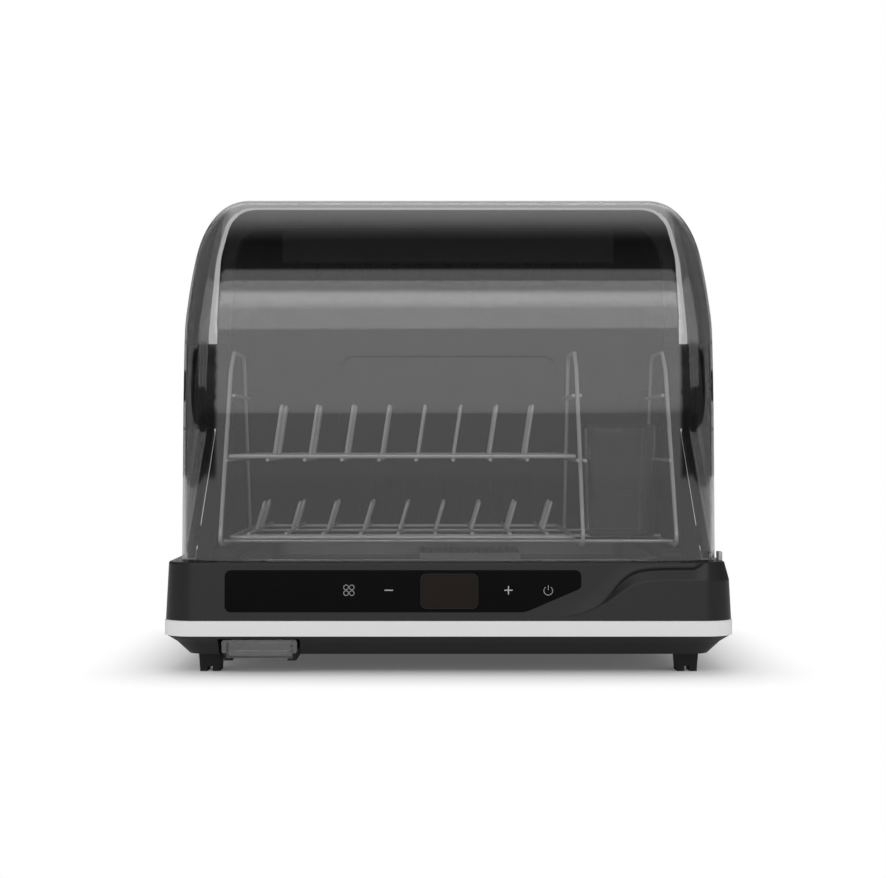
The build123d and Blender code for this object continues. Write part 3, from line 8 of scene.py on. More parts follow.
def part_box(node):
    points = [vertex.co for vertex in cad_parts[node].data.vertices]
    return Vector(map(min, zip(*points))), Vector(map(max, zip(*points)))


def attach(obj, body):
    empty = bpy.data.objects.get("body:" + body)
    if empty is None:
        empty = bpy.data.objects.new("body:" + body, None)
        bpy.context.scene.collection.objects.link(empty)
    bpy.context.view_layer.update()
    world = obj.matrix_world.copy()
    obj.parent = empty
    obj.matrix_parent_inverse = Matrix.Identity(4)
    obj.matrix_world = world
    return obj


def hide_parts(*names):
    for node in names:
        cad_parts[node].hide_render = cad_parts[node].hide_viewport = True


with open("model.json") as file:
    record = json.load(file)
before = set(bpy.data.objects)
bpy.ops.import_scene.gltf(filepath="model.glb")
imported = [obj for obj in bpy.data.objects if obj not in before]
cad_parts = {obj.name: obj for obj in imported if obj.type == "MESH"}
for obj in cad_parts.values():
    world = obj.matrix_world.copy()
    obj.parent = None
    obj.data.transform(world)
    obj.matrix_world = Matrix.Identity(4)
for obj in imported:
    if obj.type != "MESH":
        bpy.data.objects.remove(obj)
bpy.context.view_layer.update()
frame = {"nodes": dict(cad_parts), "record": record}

print("frame loaded")

# A countertop dish sterilizer: black base, silver band, smoked visor on two hubs, wire racks.

millimetre = 0.001


# camera

view = {
    "frontPlane": -0.175,     # the base's front face
    "distance": 1.5,          # from the camera to that plane
    "across": -0.0045,
    "height": 0.1904,
    "lens": 76.0,
    "sensor": 36.0,
}


def makeCamera():
    data = bpy.data.cameras.new("camera")
    data.lens = view["lens"]
    data.sensor_width = view["sensor"]
    camera = bpy.data.objects.new("camera", data)
    camera.location = (view["across"], view["frontPlane"] - view["distance"], view["height"])
    camera.rotation_euler = (math.pi / 2, 0, 0)
    bpy.context.scene.collection.objects.link(camera)
    bpy.context.scene.camera = camera


makeCamera()
bpy.context.scene.view_settings.view_transform = "Standard"
print("camera placed")


# node helpers

def newGroup(name, inputs, outputs):
    group = bpy.data.node_groups.new(name, "ShaderNodeTree")
    for label, kind, value in inputs:
        socket = group.interface.new_socket(name=label, in_out="INPUT", socket_type=kind)
        socket.default_value = value
    for label, kind in outputs:
        group.interface.new_socket(name=label, in_out="OUTPUT", socket_type=kind)
    return group, group.nodes.new("NodeGroupInput"), group.nodes.new("NodeGroupOutput")


def mathNode(tree, operation, first, second=None, clamp=False):
    node = tree.nodes.new("ShaderNodeMath")
    node.operation = operation
    node.use_clamp = clamp
    for socket, value in zip(node.inputs, (first, second)):
        if isinstance(value, (int, float)):
            socket.default_value = value
        elif value is not None:
            tree.links.new(value, socket)
    return node.outputs["Value"]


def rampNode(tree, factor, stops):
    node = tree.nodes.new("ShaderNodeValToRGB")
    ramp = node.color_ramp
    while len(ramp.elements) < len(stops):
        ramp.elements.new(0.5)
    for element, (position, level) in zip(ramp.elements, stops):
        element.position = position
        element.color = (level, level, level, 1)
    tree.links.new(factor, node.inputs["Fac"])
    return node.outputs["Color"]


# shader groups: grain, rounded edges, a lighter edge that is part wear and part painted highlight, dust

def makeGrainGroup():
    group, start, end = newGroup(
        "surfaceGrain",
        [("Scale", "NodeSocketFloat", 400.0), ("Depth", "NodeSocketFloat", 0.1),
         ("Edge", "NodeSocketFloat", 0.0006)],
        [("Shade", "NodeSocketFloat"), ("Normal", "NodeSocketVector")],
    )
    place = group.nodes.new("ShaderNodeTexCoord")
    noise = group.nodes.new("ShaderNodeTexNoise")
    noise.inputs["Detail"].default_value = 4
    group.links.new(place.outputs["Object"], noise.inputs["Vector"])
    group.links.new(start.outputs["Scale"], noise.inputs["Scale"])
    rounding = group.nodes.new("ShaderNodeBevel")
    rounding.samples = 4
    group.links.new(start.outputs["Edge"], rounding.inputs["Radius"])
    bump = group.nodes.new("ShaderNodeBump")
    bump.inputs["Distance"].default_value = 0.0002
    group.links.new(start.outputs["Depth"], bump.inputs["Strength"])
    group.links.new(noise.outputs["Fac"], bump.inputs["Height"])
    group.links.new(rounding.outputs["Normal"], bump.inputs["Normal"])
    group.links.new(noise.outputs["Fac"], end.inputs["Shade"])
    group.links.new(bump.outputs["Normal"], end.inputs["Normal"])
    return group


def makeWearAndSheenGroup():
    group, start, end = newGroup(
        "edgeWearAndSheen",
        [("Radius", "NodeSocketFloat", 0.0008), ("Scale", "NodeSocketFloat", 90.0)],
        [("Mask", "NodeSocketFloat")],
    )
    # lighter where the bevelled normal turns away from the true one: part wear, part a painted highlight along every
    # edge
    geometry = group.nodes.new("ShaderNodeNewGeometry")
    rounding = group.nodes.new("ShaderNodeBevel")
    rounding.samples = 4
    group.links.new(start.outputs["Radius"], rounding.inputs["Radius"])
    dot = group.nodes.new("ShaderNodeVectorMath")
    dot.operation = "DOT_PRODUCT"
    group.links.new(rounding.outputs["Normal"], dot.inputs[0])
    group.links.new(geometry.outputs["Normal"], dot.inputs[1])
    turned = mathNode(group, "SUBTRACT", 1.0, dot.outputs["Value"], clamp=True)
    noise = group.nodes.new("ShaderNodeTexNoise")
    group.links.new(start.outputs["Scale"], noise.inputs["Scale"])
    broken = mathNode(group, "MULTIPLY", turned, noise.outputs["Fac"])
    group.links.new(mathNode(group, "MULTIPLY", broken, 6.0, clamp=True), end.inputs["Mask"])
    return group


def makeDustGroup():
    group, start, end = newGroup(
        "restingDust",
        [("Amount", "NodeSocketFloat", 0.1), ("Scale", "NodeSocketFloat", 300.0)],
        [("Mask", "NodeSocketFloat")],
    )
    geometry = group.nodes.new("ShaderNodeNewGeometry")
    parts = group.nodes.new("ShaderNodeSeparateXYZ")
    group.links.new(geometry.outputs["Normal"], parts.inputs["Vector"])
    noise = group.nodes.new("ShaderNodeTexNoise")
    noise.inputs["Detail"].default_value = 6
    group.links.new(start.outputs["Scale"], noise.inputs["Scale"])
    facing = mathNode(group, "MAXIMUM", parts.outputs["Z"], 0.0)
    speckled = mathNode(group, "MULTIPLY", facing, noise.outputs["Fac"])
    group.links.new(mathNode(group, "MULTIPLY", speckled, start.outputs["Amount"]), end.inputs["Mask"])
    return group


grainGroup = makeGrainGroup()
wearAndSheenGroup = makeWearAndSheenGroup()
dustGroup = makeDustGroup()


# materials

surface = {
    "wearAndSheenScale": 90.0,
    "dustScale": 500.0,
    "dustColour": (0.35, 0.34, 0.33),
    "coatGloss": 1.85,
}


def newMaterial(name):
    material = bpy.data.materials.new(name)
    material.use_nodes = True
    tree = material.node_tree
    return material, tree, tree.nodes["Principled BSDF"]


def addGroup(tree, group, **values):
    node = tree.nodes.new("ShaderNodeGroup")
    node.node_tree = group
    for label, value in values.items():
        node.inputs[label].default_value = value
    return node


def mixColour(tree, factor, first, second):
    node = tree.nodes.new("ShaderNodeMix")
    node.data_type = "RGBA"
    for socket, value in ((node.inputs[6], first), (node.inputs[7], second)):
        if isinstance(value, tuple):
            socket.default_value = (*value, 1)
        else:
            tree.links.new(value, socket)
    tree.links.new(factor, node.inputs[0])
    return node.outputs[2]


def roughen(tree, shader, shade, look):
    # the roughness varies with the shade of the surface
    node = tree.nodes.new("ShaderNodeMath")
    node.operation = "MULTIPLY_ADD"
    node.inputs[1].default_value = look["roughSpread"]
    node.inputs[2].default_value = look["roughness"]
    tree.links.new(shade, node.inputs[0])
    tree.links.new(node.outputs["Value"], shader.inputs["Roughness"])


def mouldedPlastic(name, look):
    # moulded black plastic: fine grain, a lighter edge that is part wear and part painted highlight, and a little dust
    # on top
    material, tree, shader = newMaterial(name)
    grain = addGroup(tree, grainGroup, Scale=look["grainScale"], Depth=look["grainDepth"], Edge=look["edge"])
    wearAndSheen = addGroup(tree, wearAndSheenGroup, Radius=look["edge"], Scale=surface["wearAndSheenScale"])
    dust = addGroup(tree, dustGroup, Amount=look["dust"], Scale=surface["dustScale"])
    body = mixColour(tree, grain.outputs["Shade"], look["dark"], look["light"])
    # the edges are mixed towards a lighter colour, part wear and part painted highlight
    wornAndSheen = mixColour(tree, mathNode(tree, "MULTIPLY", wearAndSheen.outputs["Mask"], look["wearAndSheen"]), body, look["wornAndSheenColour"])
    dusty = mixColour(tree, dust.outputs["Mask"], wornAndSheen, surface["dustColour"])
    tree.links.new(dusty, shader.inputs["Base Color"])
    roughen(tree, shader, grain.outputs["Shade"], look)
    tree.links.new(grain.outputs["Normal"], shader.inputs["Normal"])
    shader.inputs["IOR"].default_value = look["ior"]
    return material


def metal(name, look):
    # plated, painted or brushed metal; streak stretches the grain along one axis
    material, tree, shader = newMaterial(name)
    place = tree.nodes.new("ShaderNodeTexCoord")
    stretch = tree.nodes.new("ShaderNodeMapping")
    stretch.inputs["Scale"].default_value = look["streak"]
    noise = tree.nodes.new("ShaderNodeTexNoise")
    noise.inputs["Scale"].default_value = look["grainScale"]
    noise.inputs["Detail"].default_value = 5
    tree.links.new(place.outputs["Object"], stretch.inputs["Vector"])
    tree.links.new(stretch.outputs["Vector"], noise.inputs["Vector"])
    grain = addGroup(tree, grainGroup, Scale=look["grainScale"], Depth=look["grainDepth"], Edge=look["edge"])
    tree.links.new(mixColour(tree, noise.outputs["Fac"], look["dark"], look["light"]), shader.inputs["Base Color"])
    roughen(tree, shader, noise.outputs["Fac"], look)
    tree.links.new(grain.outputs["Normal"], shader.inputs["Normal"])
    shader.inputs["Metallic"].default_value = look["metallic"]
    return material


def clearPlastic(name, look):
    # see-through moulding; lamplight passes straight through it to what is inside
    material, tree, shader = newMaterial(name)
    grain = addGroup(tree, grainGroup, Scale=look["grainScale"], Depth=look["grainDepth"], Edge=look["edge"])
    tree.links.new(mixColour(tree, grain.outputs["Shade"], look["dark"], look["light"]), shader.inputs["Base Color"])
    roughen(tree, shader, grain.outputs["Shade"], look)
    tree.links.new(grain.outputs["Normal"], shader.inputs["Normal"])
    shader.inputs["Transmission Weight"].default_value = 1.0
    shader.inputs["IOR"].default_value = look["ior"]
    shader.inputs["Coat Weight"].default_value = look.get("coat", 0.0)
    shader.inputs["Coat IOR"].default_value = surface["coatGloss"]
    through = tree.nodes.new("ShaderNodeBsdfTransparent")
    through.inputs["Color"].default_value = (*look["shade"], 1)
    path = tree.nodes.new("ShaderNodeLightPath")
    passes = mathNode(tree, "MAXIMUM", path.outputs["Is Shadow Ray"], path.outputs["Is Diffuse Ray"])
    mix = tree.nodes.new("ShaderNodeMixShader")
    tree.links.new(passes, mix.inputs["Fac"])
    tree.links.new(shader.outputs["BSDF"], mix.inputs[1])
    tree.links.new(through.outputs["BSDF"], mix.inputs[2])
    tree.links.new(mix.outputs["Shader"], tree.nodes["Material Output"].inputs["Surface"])
    return material


plasticLooks = {
    "black_shell": {"dark": (0.011, 0.011, 0.0115), "light": (0.015, 0.015, 0.0155), "roughness": 0.28,
                    "roughSpread": 0.12, "grainScale": 900.0, "grainDepth": 0.06, "edge": 0.0009, "wearAndSheen": 0.25,
                    "wornAndSheenColour": (0.06, 0.06, 0.065), "dust": 0.02, "ior": 1.45},
    "black_pan": {"dark": (0.010, 0.010, 0.011), "light": (0.016, 0.016, 0.017), "roughness": 0.45,
                  "roughSpread": 0.15, "grainScale": 1400.0, "grainDepth": 0.25, "edge": 0.0008, "wearAndSheen": 0.15,
                  "wornAndSheenColour": (0.06, 0.06, 0.065), "dust": 0.03, "ior": 1.3},
    "black_hub": {"dark": (0.006, 0.006, 0.0065), "light": (0.010, 0.010, 0.011), "roughness": 0.30,
                  "roughSpread": 0.12, "grainScale": 1100.0, "grainDepth": 0.10, "edge": 0.0008, "wearAndSheen": 0.25,
                  "wornAndSheenColour": (0.06, 0.06, 0.06), "dust": 0.02, "ior": 1.3},
    "gloss_panel": {"dark": (0.002, 0.002, 0.002), "light": (0.003, 0.003, 0.003), "roughness": 0.05,
                    "roughSpread": 0.04, "grainScale": 60.0, "grainDepth": 0.01, "edge": 0.0005, "wearAndSheen": 0.1,
                    "wornAndSheenColour": (0.05, 0.05, 0.05), "dust": 0.01, "ior": 1.14},
    "smoked_window": {"dark": (0.0125, 0.0095, 0.0080), "light": (0.0150, 0.0115, 0.0100), "roughness": 0.08,
                      "roughSpread": 0.04, "grainScale": 60.0, "grainDepth": 0.01, "edge": 0.0003, "wearAndSheen": 0.1,
                      "wornAndSheenColour": (0.05, 0.05, 0.05), "dust": 0.01, "ior": 1.14},
    "circuit_board": {"dark": (0.010, 0.060, 0.024), "light": (0.020, 0.110, 0.045), "roughness": 0.35,
                      "roughSpread": 0.2, "grainScale": 250.0, "grainDepth": 0.2, "edge": 0.0003, "wearAndSheen": 0.1,
                      "wornAndSheenColour": (0.3, 0.3, 0.2), "dust": 0.05, "ior": 1.5},
    "display_parts": {"dark": (0.020, 0.020, 0.022), "light": (0.035, 0.035, 0.038), "roughness": 0.40,
                      "roughSpread": 0.15, "grainScale": 500.0, "grainDepth": 0.1, "edge": 0.0004, "wearAndSheen": 0.1,
                      "wornAndSheenColour": (0.1, 0.1, 0.1), "dust": 0.03, "ior": 1.5},
    "contact_rubber": {"dark": (0.010, 0.010, 0.010), "light": (0.018, 0.018, 0.018), "roughness": 0.70,
                       "roughSpread": 0.2, "grainScale": 700.0, "grainDepth": 0.3, "edge": 0.0004, "wearAndSheen": 0.1,
                       "wornAndSheenColour": (0.05, 0.05, 0.05), "dust": 0.15, "ior": 1.5},
    "latch_grey": {"dark": (0.34, 0.34, 0.345), "light": (0.42, 0.42, 0.425), "roughness": 0.40,
                   "roughSpread": 0.1, "grainScale": 700.0, "grainDepth": 0.08, "edge": 0.0008, "wearAndSheen": 0.2,
                   "wornAndSheenColour": (0.6, 0.6, 0.6), "dust": 0.03, "ior": 1.5},
    "damper_plastic": {"dark": (0.42, 0.41, 0.38), "light": (0.52, 0.51, 0.47), "roughness": 0.45,
                       "roughSpread": 0.15, "grainScale": 400.0, "grainDepth": 0.1, "edge": 0.0004, "wearAndSheen": 0.1,
                       "wornAndSheenColour": (0.6, 0.6, 0.58), "dust": 0.03, "ior": 1.5},
}
metalLooks = {
    "silver_paint": {"dark": (0.58, 0.58, 0.585), "light": (0.66, 0.66, 0.665), "roughness": 0.30, "roughSpread": 0.12,
                     "streak": (0.2, 0.2, 1.0), "grainScale": 2500.0, "grainDepth": 0.05, "edge": 0.0005,
                     "metallic": 0.0},
    "steel_screw": {"dark": (0.40, 0.40, 0.41), "light": (0.60, 0.60, 0.61), "roughness": 0.22, "roughSpread": 0.2,
                    "streak": (1.0, 1.0, 1.0), "grainScale": 900.0, "grainDepth": 0.05, "edge": 0.0003,
                    "metallic": 1.0},
    "bush_brass": {"dark": (0.50, 0.36, 0.14), "light": (0.64, 0.48, 0.20), "roughness": 0.25, "roughSpread": 0.2,
                   "streak": (1.0, 1.0, 1.0), "grainScale": 900.0, "grainDepth": 0.05, "edge": 0.0003,
                   "metallic": 1.0},
    "heater_aluminium": {"dark": (0.55, 0.55, 0.56), "light": (0.72, 0.72, 0.73), "roughness": 0.30,
                         "roughSpread": 0.2, "streak": (1.0, 0.1, 1.0), "grainScale": 900.0, "grainDepth": 0.05,
                         "edge": 0.0002, "metallic": 1.0},
    "tub_steel": {"dark": (0.40, 0.40, 0.41), "light": (0.55, 0.55, 0.56), "roughness": 0.28, "roughSpread": 0.16,
                  "streak": (0.03, 1.0, 1.0), "grainScale": 700.0, "grainDepth": 0.08, "edge": 0.0006,
                  "metallic": 1.0},
    "rack_chrome": {"dark": (0.86, 0.86, 0.865), "light": (0.93, 0.93, 0.935), "roughness": 0.18,
                    "roughSpread": 0.08, "streak": (1.0, 1.0, 1.0), "grainScale": 500.0, "grainDepth": 0.01,
                    "edge": 0.0, "metallic": 0.4},
}
clearLooks = {
    "smoked_visor": {"dark": (0.46, 0.46, 0.465), "light": (0.49, 0.49, 0.495), "shade": (0.75, 0.75, 0.755),
                     "roughness": 0.0, "roughSpread": 0.02, "grainScale": 30.0, "grainDepth": 0.0, "edge": 0.0,
                     "ior": 1.04, "coat": 1.0},
    "smoked_drawer": {"dark": (0.78, 0.78, 0.785), "light": (0.84, 0.84, 0.845), "shade": (0.8, 0.8, 0.8),
                      "roughness": 0.03, "roughSpread": 0.05, "grainScale": 60.0, "grainDepth": 0.02, "edge": 0.0005,
                      "ior": 1.49, "coat": 1.0},
    "clear_basket": {"dark": (0.86, 0.87, 0.88), "light": (0.92, 0.93, 0.94), "shade": (0.9, 0.9, 0.9),
                     "roughness": 0.02, "roughSpread": 0.04, "grainScale": 50.0, "grainDepth": 0.01, "edge": 0.0005,
                     "ior": 1.49},
    "lamp_glass": {"dark": (0.88, 0.90, 0.93), "light": (0.94, 0.95, 0.97), "shade": (0.95, 0.95, 0.95),
                   "roughness": 0.02, "roughSpread": 0.04, "grainScale": 50.0, "grainDepth": 0.01, "edge": 0.0003,
                   "ior": 1.46},
}

materials = {}
for makeMaterial, looks in ((mouldedPlastic, plasticLooks), (metal, metalLooks), (clearPlastic, clearLooks)):
    for slotName, look in looks.items():
        materials[slotName] = makeMaterial(slotName, look)

for subpart in frame["record"]["subparts"]:
    for slot in frame["nodes"][subpart["node"]].material_slots:
        slot.material = materials[subpart["material_slot"]]
print("materials assigned")


# mesh helpers

def finishPiece(name, mesh, body, slotName, nodes=(), smoothBelow=35):
    # a finished piece: smooth shading with sharp corners, its place in the mesh
    for face in mesh.polygons:
        face.use_smooth = True
    mesh.set_sharp_from_angle(angle=math.radians(smoothBelow))
    if not mesh.materials:
        mesh.materials.append(materials[slotName])
    piece = bpy.data.objects.new(name, mesh)
    bpy.context.scene.collection.objects.link(piece)
    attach(piece, body)
    if nodes:
        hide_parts(*nodes)
    return piece


def inMillimetres(node):
    return [corner / millimetre for corner in map(Vector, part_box(node))]


def meshFrom(name, build):
    # runs build on an empty bmesh, turns the normals outward and keeps the result
    form = bmesh.new()
    build(form)
    bmesh.ops.remove_doubles(form, verts=form.verts, dist=1e-6)
    bmesh.ops.recalc_face_normals(form, faces=form.faces)
    mesh = bpy.data.meshes.new(name)
    form.to_mesh(mesh)
    form.free()
    return mesh


def addRings(form, rings, closed=True):
    # skins a list of closed rings of points; closed joins the last ring to the first
    rows = [[form.verts.new(point) for point in ring] for ring in rings]
    after = rows[1:] + rows[:1] if closed else rows[1:]
    for row, following in zip(rows, after):
        count = len(row)
        for number in range(count):
            second = (number + 1) % count
            form.faces.new((row[number], row[second], following[second], following[number]))
    return rows


def curveMesh(curve):
    # a curve's finished mesh, without the curve
    holder = bpy.data.objects.new(curve.name, curve)
    bpy.context.scene.collection.objects.link(holder)
    bpy.context.view_layer.update()
    depsgraph = bpy.context.evaluated_depsgraph_get()
    mesh = bpy.data.meshes.new_from_object(holder.evaluated_get(depsgraph))
    bpy.data.objects.remove(holder)
    return mesh


def smoothThrough(points, place):
    # a value read from a curve that passes smoothly through (place, value) points
    if place <= points[0][0]:
        return points[0][1]
    if place >= points[-1][0]:
        return points[-1][1]
    slopes = [(after[1] - before[1]) / (after[0] - before[0])
              for before, after in zip([points[0]] + points[:-1], points[1:] + [points[-1]])
              if after[0] > before[0]]
    for number in range(len(points) - 1):
        (startX, startY), (endX, endY) = points[number], points[number + 1]
        if place <= endX:
            share = (place - startX) / (endX - startX)
            span = endX - startX
            square, cube = share ** 2, share ** 3
            return ((2 * cube - 3 * square + 1) * startY + (cube - 2 * square + share) * span * slopes[number]
                    + (3 * square - 2 * cube) * endY + (cube - square) * span * slopes[number + 1])


def smoothStep(low, high, value):
    share = min(max((value - low) / (high - low), 0.0), 1.0)
    return share * share * (3 - 2 * share)


# upper base shell, with the finger scoop blended into it

shellSizes = {
    "halfWidth": 230.0,
    "halfDepth": 175.0,
    "corner": 24.0,
    "bottom": 44.4,
    "top": 91.3,
    "lean": 2.5,              # it narrows this much to its top
    "edgeRound": 1.4,
    "rim": 6.0,
    "ledge": 4.0,
    "wall": 3.0,
    "scoopDepth": 3.4,
    "lipSwell": 0.21,         # slope to which the face swells up to the lip
    "scoopHollow": 4.0,       # width of the drop below the lip
    "scoopFloor": 0.75,       # share of its height over which it comes back out
    "scoopBlend": 0.5,
    "creaseRise": 0.9,
    "scoopEnd": 345.0,        # along the outline, on the right side
    "scoopFade": 14.0,
    "lipRise": 9.0,           # past the lip's end the scoop is open to the top
    "lipEnd": 204.0,
    "lipFade": 16.0,
    "tailEnd": 124.0,
    "plateGap": 0.3,
    "scoopZone": 60.0,        # from here to the right the stations are close together
    "coarseStep": 6.0,
    "fineStep": 0.8,
    "sideStep": 0.9,
    "sideZone": -20.0,        # on the right side they are close up to here
    "cornerSteps": 48,        # at the front right corner
    "plainCornerSteps": 16,
    "backSteps": 60,
    "leftSteps": 50,
    "wallRows": 96,
    "edgeRows": 6,
    "innerRows": 10,
    "lipStep": 2.0,         # spacing of the points on the scoop's lip
}
# the scoop on the unrolled face, as (along the outline, height): the lip it rolls in from, and its lower crease
scoopUpper = [(84.0, 45.5), (97.4, 48.6), (108.0, 51.5), (116.0, 54.8), (123.4, 60.2), (132.2, 70.6), (139.0, 78.3),
              (149.5, 84.9), (167.0, 87.6), (230.0, 88.0)]
scoopLower = [(84.0, 44.9), (97.4, 48.0), (106.0, 49.7), (114.8, 53.3), (120.9, 55.8), (135.0, 64.6),
              (149.5, 73.3), (160.0, 75.6), (172.0, 76.7), (230.0, 76.4)]
scoopRoll = [(84.0, 14.0), (121.0, 12.5), (140.0, 9.0), (156.0, 4.5), (172.0, 3.0), (230.0, 3.0)]


def makeScoopLine():
    # the lip as a line of points
    start, step = scoopUpper[0][0], shellSizes["lipStep"]
    count = math.ceil((scoopUpper[-1][0] - start) / step) + 1
    return [(start + step * number, smoothThrough(scoopUpper, start + step * number)) for number in range(count)]


scoopLine = makeScoopLine()


def outlineStations():
    # (arc length from the front's middle, straight or corner, share along it), right way round
    sizes = shellSizes
    flatX = sizes["halfWidth"] - sizes["corner"]
    flatY = sizes["halfDepth"] - sizes["corner"]
    stations = []
    near, side = sizes["scoopZone"], sizes["sideZone"]
    coarse, fine = sizes["coarseStep"], sizes["fineStep"]
    for start, end, step in ((-flatX, near, coarse), (near, flatX, fine)):
        count = math.ceil((end - start) / step)
        stations += [("front", start + (end - start) * number / count) for number in range(count)]
    stations += [("frontRight", number / sizes["cornerSteps"]) for number in range(sizes["cornerSteps"])]
    for start, end, step in ((-flatY, side, sizes["sideStep"]), (side, flatY, coarse)):
        count = math.ceil((end - start) / step)
        stations += [("right", start + (end - start) * number / count) for number in range(count)]
    plain, back, left = sizes["plainCornerSteps"], sizes["backSteps"], sizes["leftSteps"]
    stations += [("backRight", number / plain) for number in range(plain)]
    stations += [("back", flatX - 2 * flatX * number / back) for number in range(back)]
    stations += [("backLeft", number / plain) for number in range(plain)]
    stations += [("left", flatY - 2 * flatY * number / left) for number in range(left)]
    stations += [("frontLeft", number / plain) for number in range(plain)]
    return stations


def outlinePoint(station, inset):
    # a point of the shell's outline drawn in by inset, its outward direction, and its arc length
    sizes = shellSizes
    corner = sizes["corner"]
    flatX = sizes["halfWidth"] - corner
    flatY = sizes["halfDepth"] - corner
    side, value = station
    bend = corner * math.pi / 2
    if side == "front":
        return Vector((value, -flatY - corner + inset)), Vector((0, -1)), value
    if side == "right":
        return Vector((flatX + corner - inset, value)), Vector((1, 0)), flatX + bend + flatY + value
    if side == "back":
        return Vector((value, flatY + corner - inset)), Vector((0, 1)), 0.0
    if side == "left":
        return Vector((-flatX - corner + inset, value)), Vector((-1, 0)), 0.0
    starts = {"frontRight": -90, "backRight": 0, "backLeft": 90, "frontLeft": 180}
    angle = math.radians(starts[side] + 90 * value)
    outward = Vector((math.cos(angle), math.sin(angle)))
    centre = Vector((flatX if "Right" in side else -flatX, flatY if "back" in side else -flatY))
    arc = flatX + bend * value if side == "frontRight" else 0.0
    return centre + outward * (corner - inset), outward, arc


def distanceTo(points, place):
    # the shortest distance from a point to a line of points
    nearest = None
    for start, end in zip(points, points[1:]):
        along = Vector(end) - Vector(start)
        share = min(max((place - Vector(start)).dot(along) / along.length_squared, 0.0), 1.0)
        away = (place - Vector(start) - along * share).length
        nearest = away if nearest is None else min(nearest, away)
    return nearest


def scoopDepthAt(arc, height):
    # how far the scoop lies behind the face: it rolls in over its lip, and comes back out to its crease
    sizes = shellSizes
    if arc <= scoopUpper[0][0] or arc >= sizes["scoopEnd"]:
        return 0.0
    lower = smoothThrough(scoopLower, arc)
    if height <= lower:
        return 0.0
    roll = smoothThrough(scoopRoll, arc)
    lift = sizes["lipRise"] * smoothStep(sizes["lipEnd"] - sizes["lipFade"] / 2,
                                         sizes["lipEnd"] + sizes["lipFade"] / 2, arc)
    upper = smoothThrough(scoopUpper, arc) + lift
    if height > upper + 2 * roll:
        return 0.0
    inside = distanceTo(scoopLine, Vector((arc, height - lift))) * (1 if height < upper else -1)
    swell = sizes["lipSwell"] * roll / 2
    if inside < 0:
        depth = -swell * max(1 + inside / roll, 0.0) ** 2
    else:
        depth = (sizes["scoopDepth"] + swell) * smoothStep(0, sizes["scoopHollow"], inside) - swell
    depth *= smoothStep(0, sizes["creaseRise"], height - lower) if depth < 0 else 1
    limit = sizes["scoopDepth"] * (height - lower) / max((upper - lower) * sizes["scoopFloor"], sizes["creaseRise"])
    blend = sizes["scoopBlend"]
    overlap = max(blend - abs(depth - limit), 0.0) / blend
    depth = min(depth, limit) - (overlap ** 2 * blend / 4 if depth > 0 else 0.0)
    starts = smoothStep(scoopUpper[0][0], sizes["tailEnd"], arc)
    return depth * starts * (1 - smoothStep(sizes["scoopEnd"] - sizes["scoopFade"], sizes["scoopEnd"], arc))


def buildBaseShell(form):
    sizes = shellSizes
    top, bottom, radius = sizes["top"], sizes["bottom"], sizes["edgeRound"]
    stations = outlineStations()

    def lean(height):
        return sizes["lean"] * (height - bottom) / (top - bottom)

    rows = []
    count = sizes["wallRows"]
    for number in range(count + 1):
        height = bottom + (top - radius - bottom) * number / count
        rows.append((lean(height), height, True))
    for number in range(1, sizes["edgeRows"] + 1):
        angle = math.pi / 2 * number / sizes["edgeRows"]
        rows.append((lean(top) + radius * (1 - math.cos(angle)), top - radius + radius * math.sin(angle), True))
    rimInset = sizes["lean"] + sizes["rim"]
    ledgeInset = rimInset + sizes["ledge"]
    ledge = top - sizes["wall"]
    rows += [(rimInset, top, False), (rimInset, ledge, False), (ledgeInset, ledge, False),
             (ledgeInset, ledge - sizes["wall"], False)]
    for number in range(sizes["innerRows"] + 1):
        height = ledge - sizes["wall"] - (ledge - sizes["wall"] - bottom) * number / sizes["innerRows"]
        rows.append((lean(height) + sizes["wall"], height, True))
    rings = []
    for inset, height, follows in rows:
        ring = []
        for station in stations:
            point, outward, arc = outlinePoint(station, inset)
            if follows:
                point = point - outward * scoopDepthAt(arc, height)
            ring.append(Vector((point.x, point.y, height)) * millimetre)
        rings.append(ring)
    addRings(form, rings)


def cutSquare(mesh, node, clearance):
    # a square hole through the rear wall, round a node's box
    low, high = inMillimetres(node)
    grow = Vector((clearance, 10.0, clearance))
    form = bmesh.new()
    bmesh.ops.create_cube(form, size=1.0)
    size = high - low + 2 * grow
    place = Matrix.Translation((low + high) / 2 * millimetre) @ Matrix.Diagonal((*size * millimetre, 1))
    bmesh.ops.transform(form, matrix=place, verts=form.verts)
    cutterMesh = bpy.data.meshes.new("cutter")
    form.to_mesh(cutterMesh)
    form.free()
    holder = bpy.data.objects.new("holder", mesh)
    cutter = bpy.data.objects.new("cutter", cutterMesh)
    for item in (holder, cutter):
        bpy.context.scene.collection.objects.link(item)
    cut = holder.modifiers.new("cut", "BOOLEAN")
    cut.object = cutter
    cut.operation = "DIFFERENCE"
    cut.solver = "EXACT"
    bpy.context.view_layer.update()
    result = bpy.data.meshes.new_from_object(holder.evaluated_get(bpy.context.evaluated_depsgraph_get()))
    for item in (holder, cutter):
        bpy.data.objects.remove(item)
    return result


shellMesh = cutSquare(meshFrom("baseShell", buildBaseShell), "cord_plate", shellSizes["plateGap"])
finishPiece("baseShell", shellMesh, "cabinet", "black_shell", nodes=["base_shell"], smoothBelow=40)
print("base shell built")


# control panel: gloss plate and printed symbols

panelSizes = {
    "left": -179.8,
    "right": 106.5,
    "bottom": 51.3,
    "top": 85.1,
    "corner": 5.0,
    "cutX": 61.4,
    "cutZ": 70.6,
    "cutRounds": (20.0, 4.0),
    "proud": 0.3,
    "thick": 1.2,
    "edge": 0.25,
    "windowX": 0.6,
    "windowWidth": 46.0,
    "windowHeight": 27.8,
    "windowCorner": 5.0,
    "windowGap": 0.15,
    "windowDrop": 0.25,       # the window lies this much lower than the plate
    "symbolZ": 69.0,
    "stroke": 0.28,
    "boldStroke": 0.5,
}


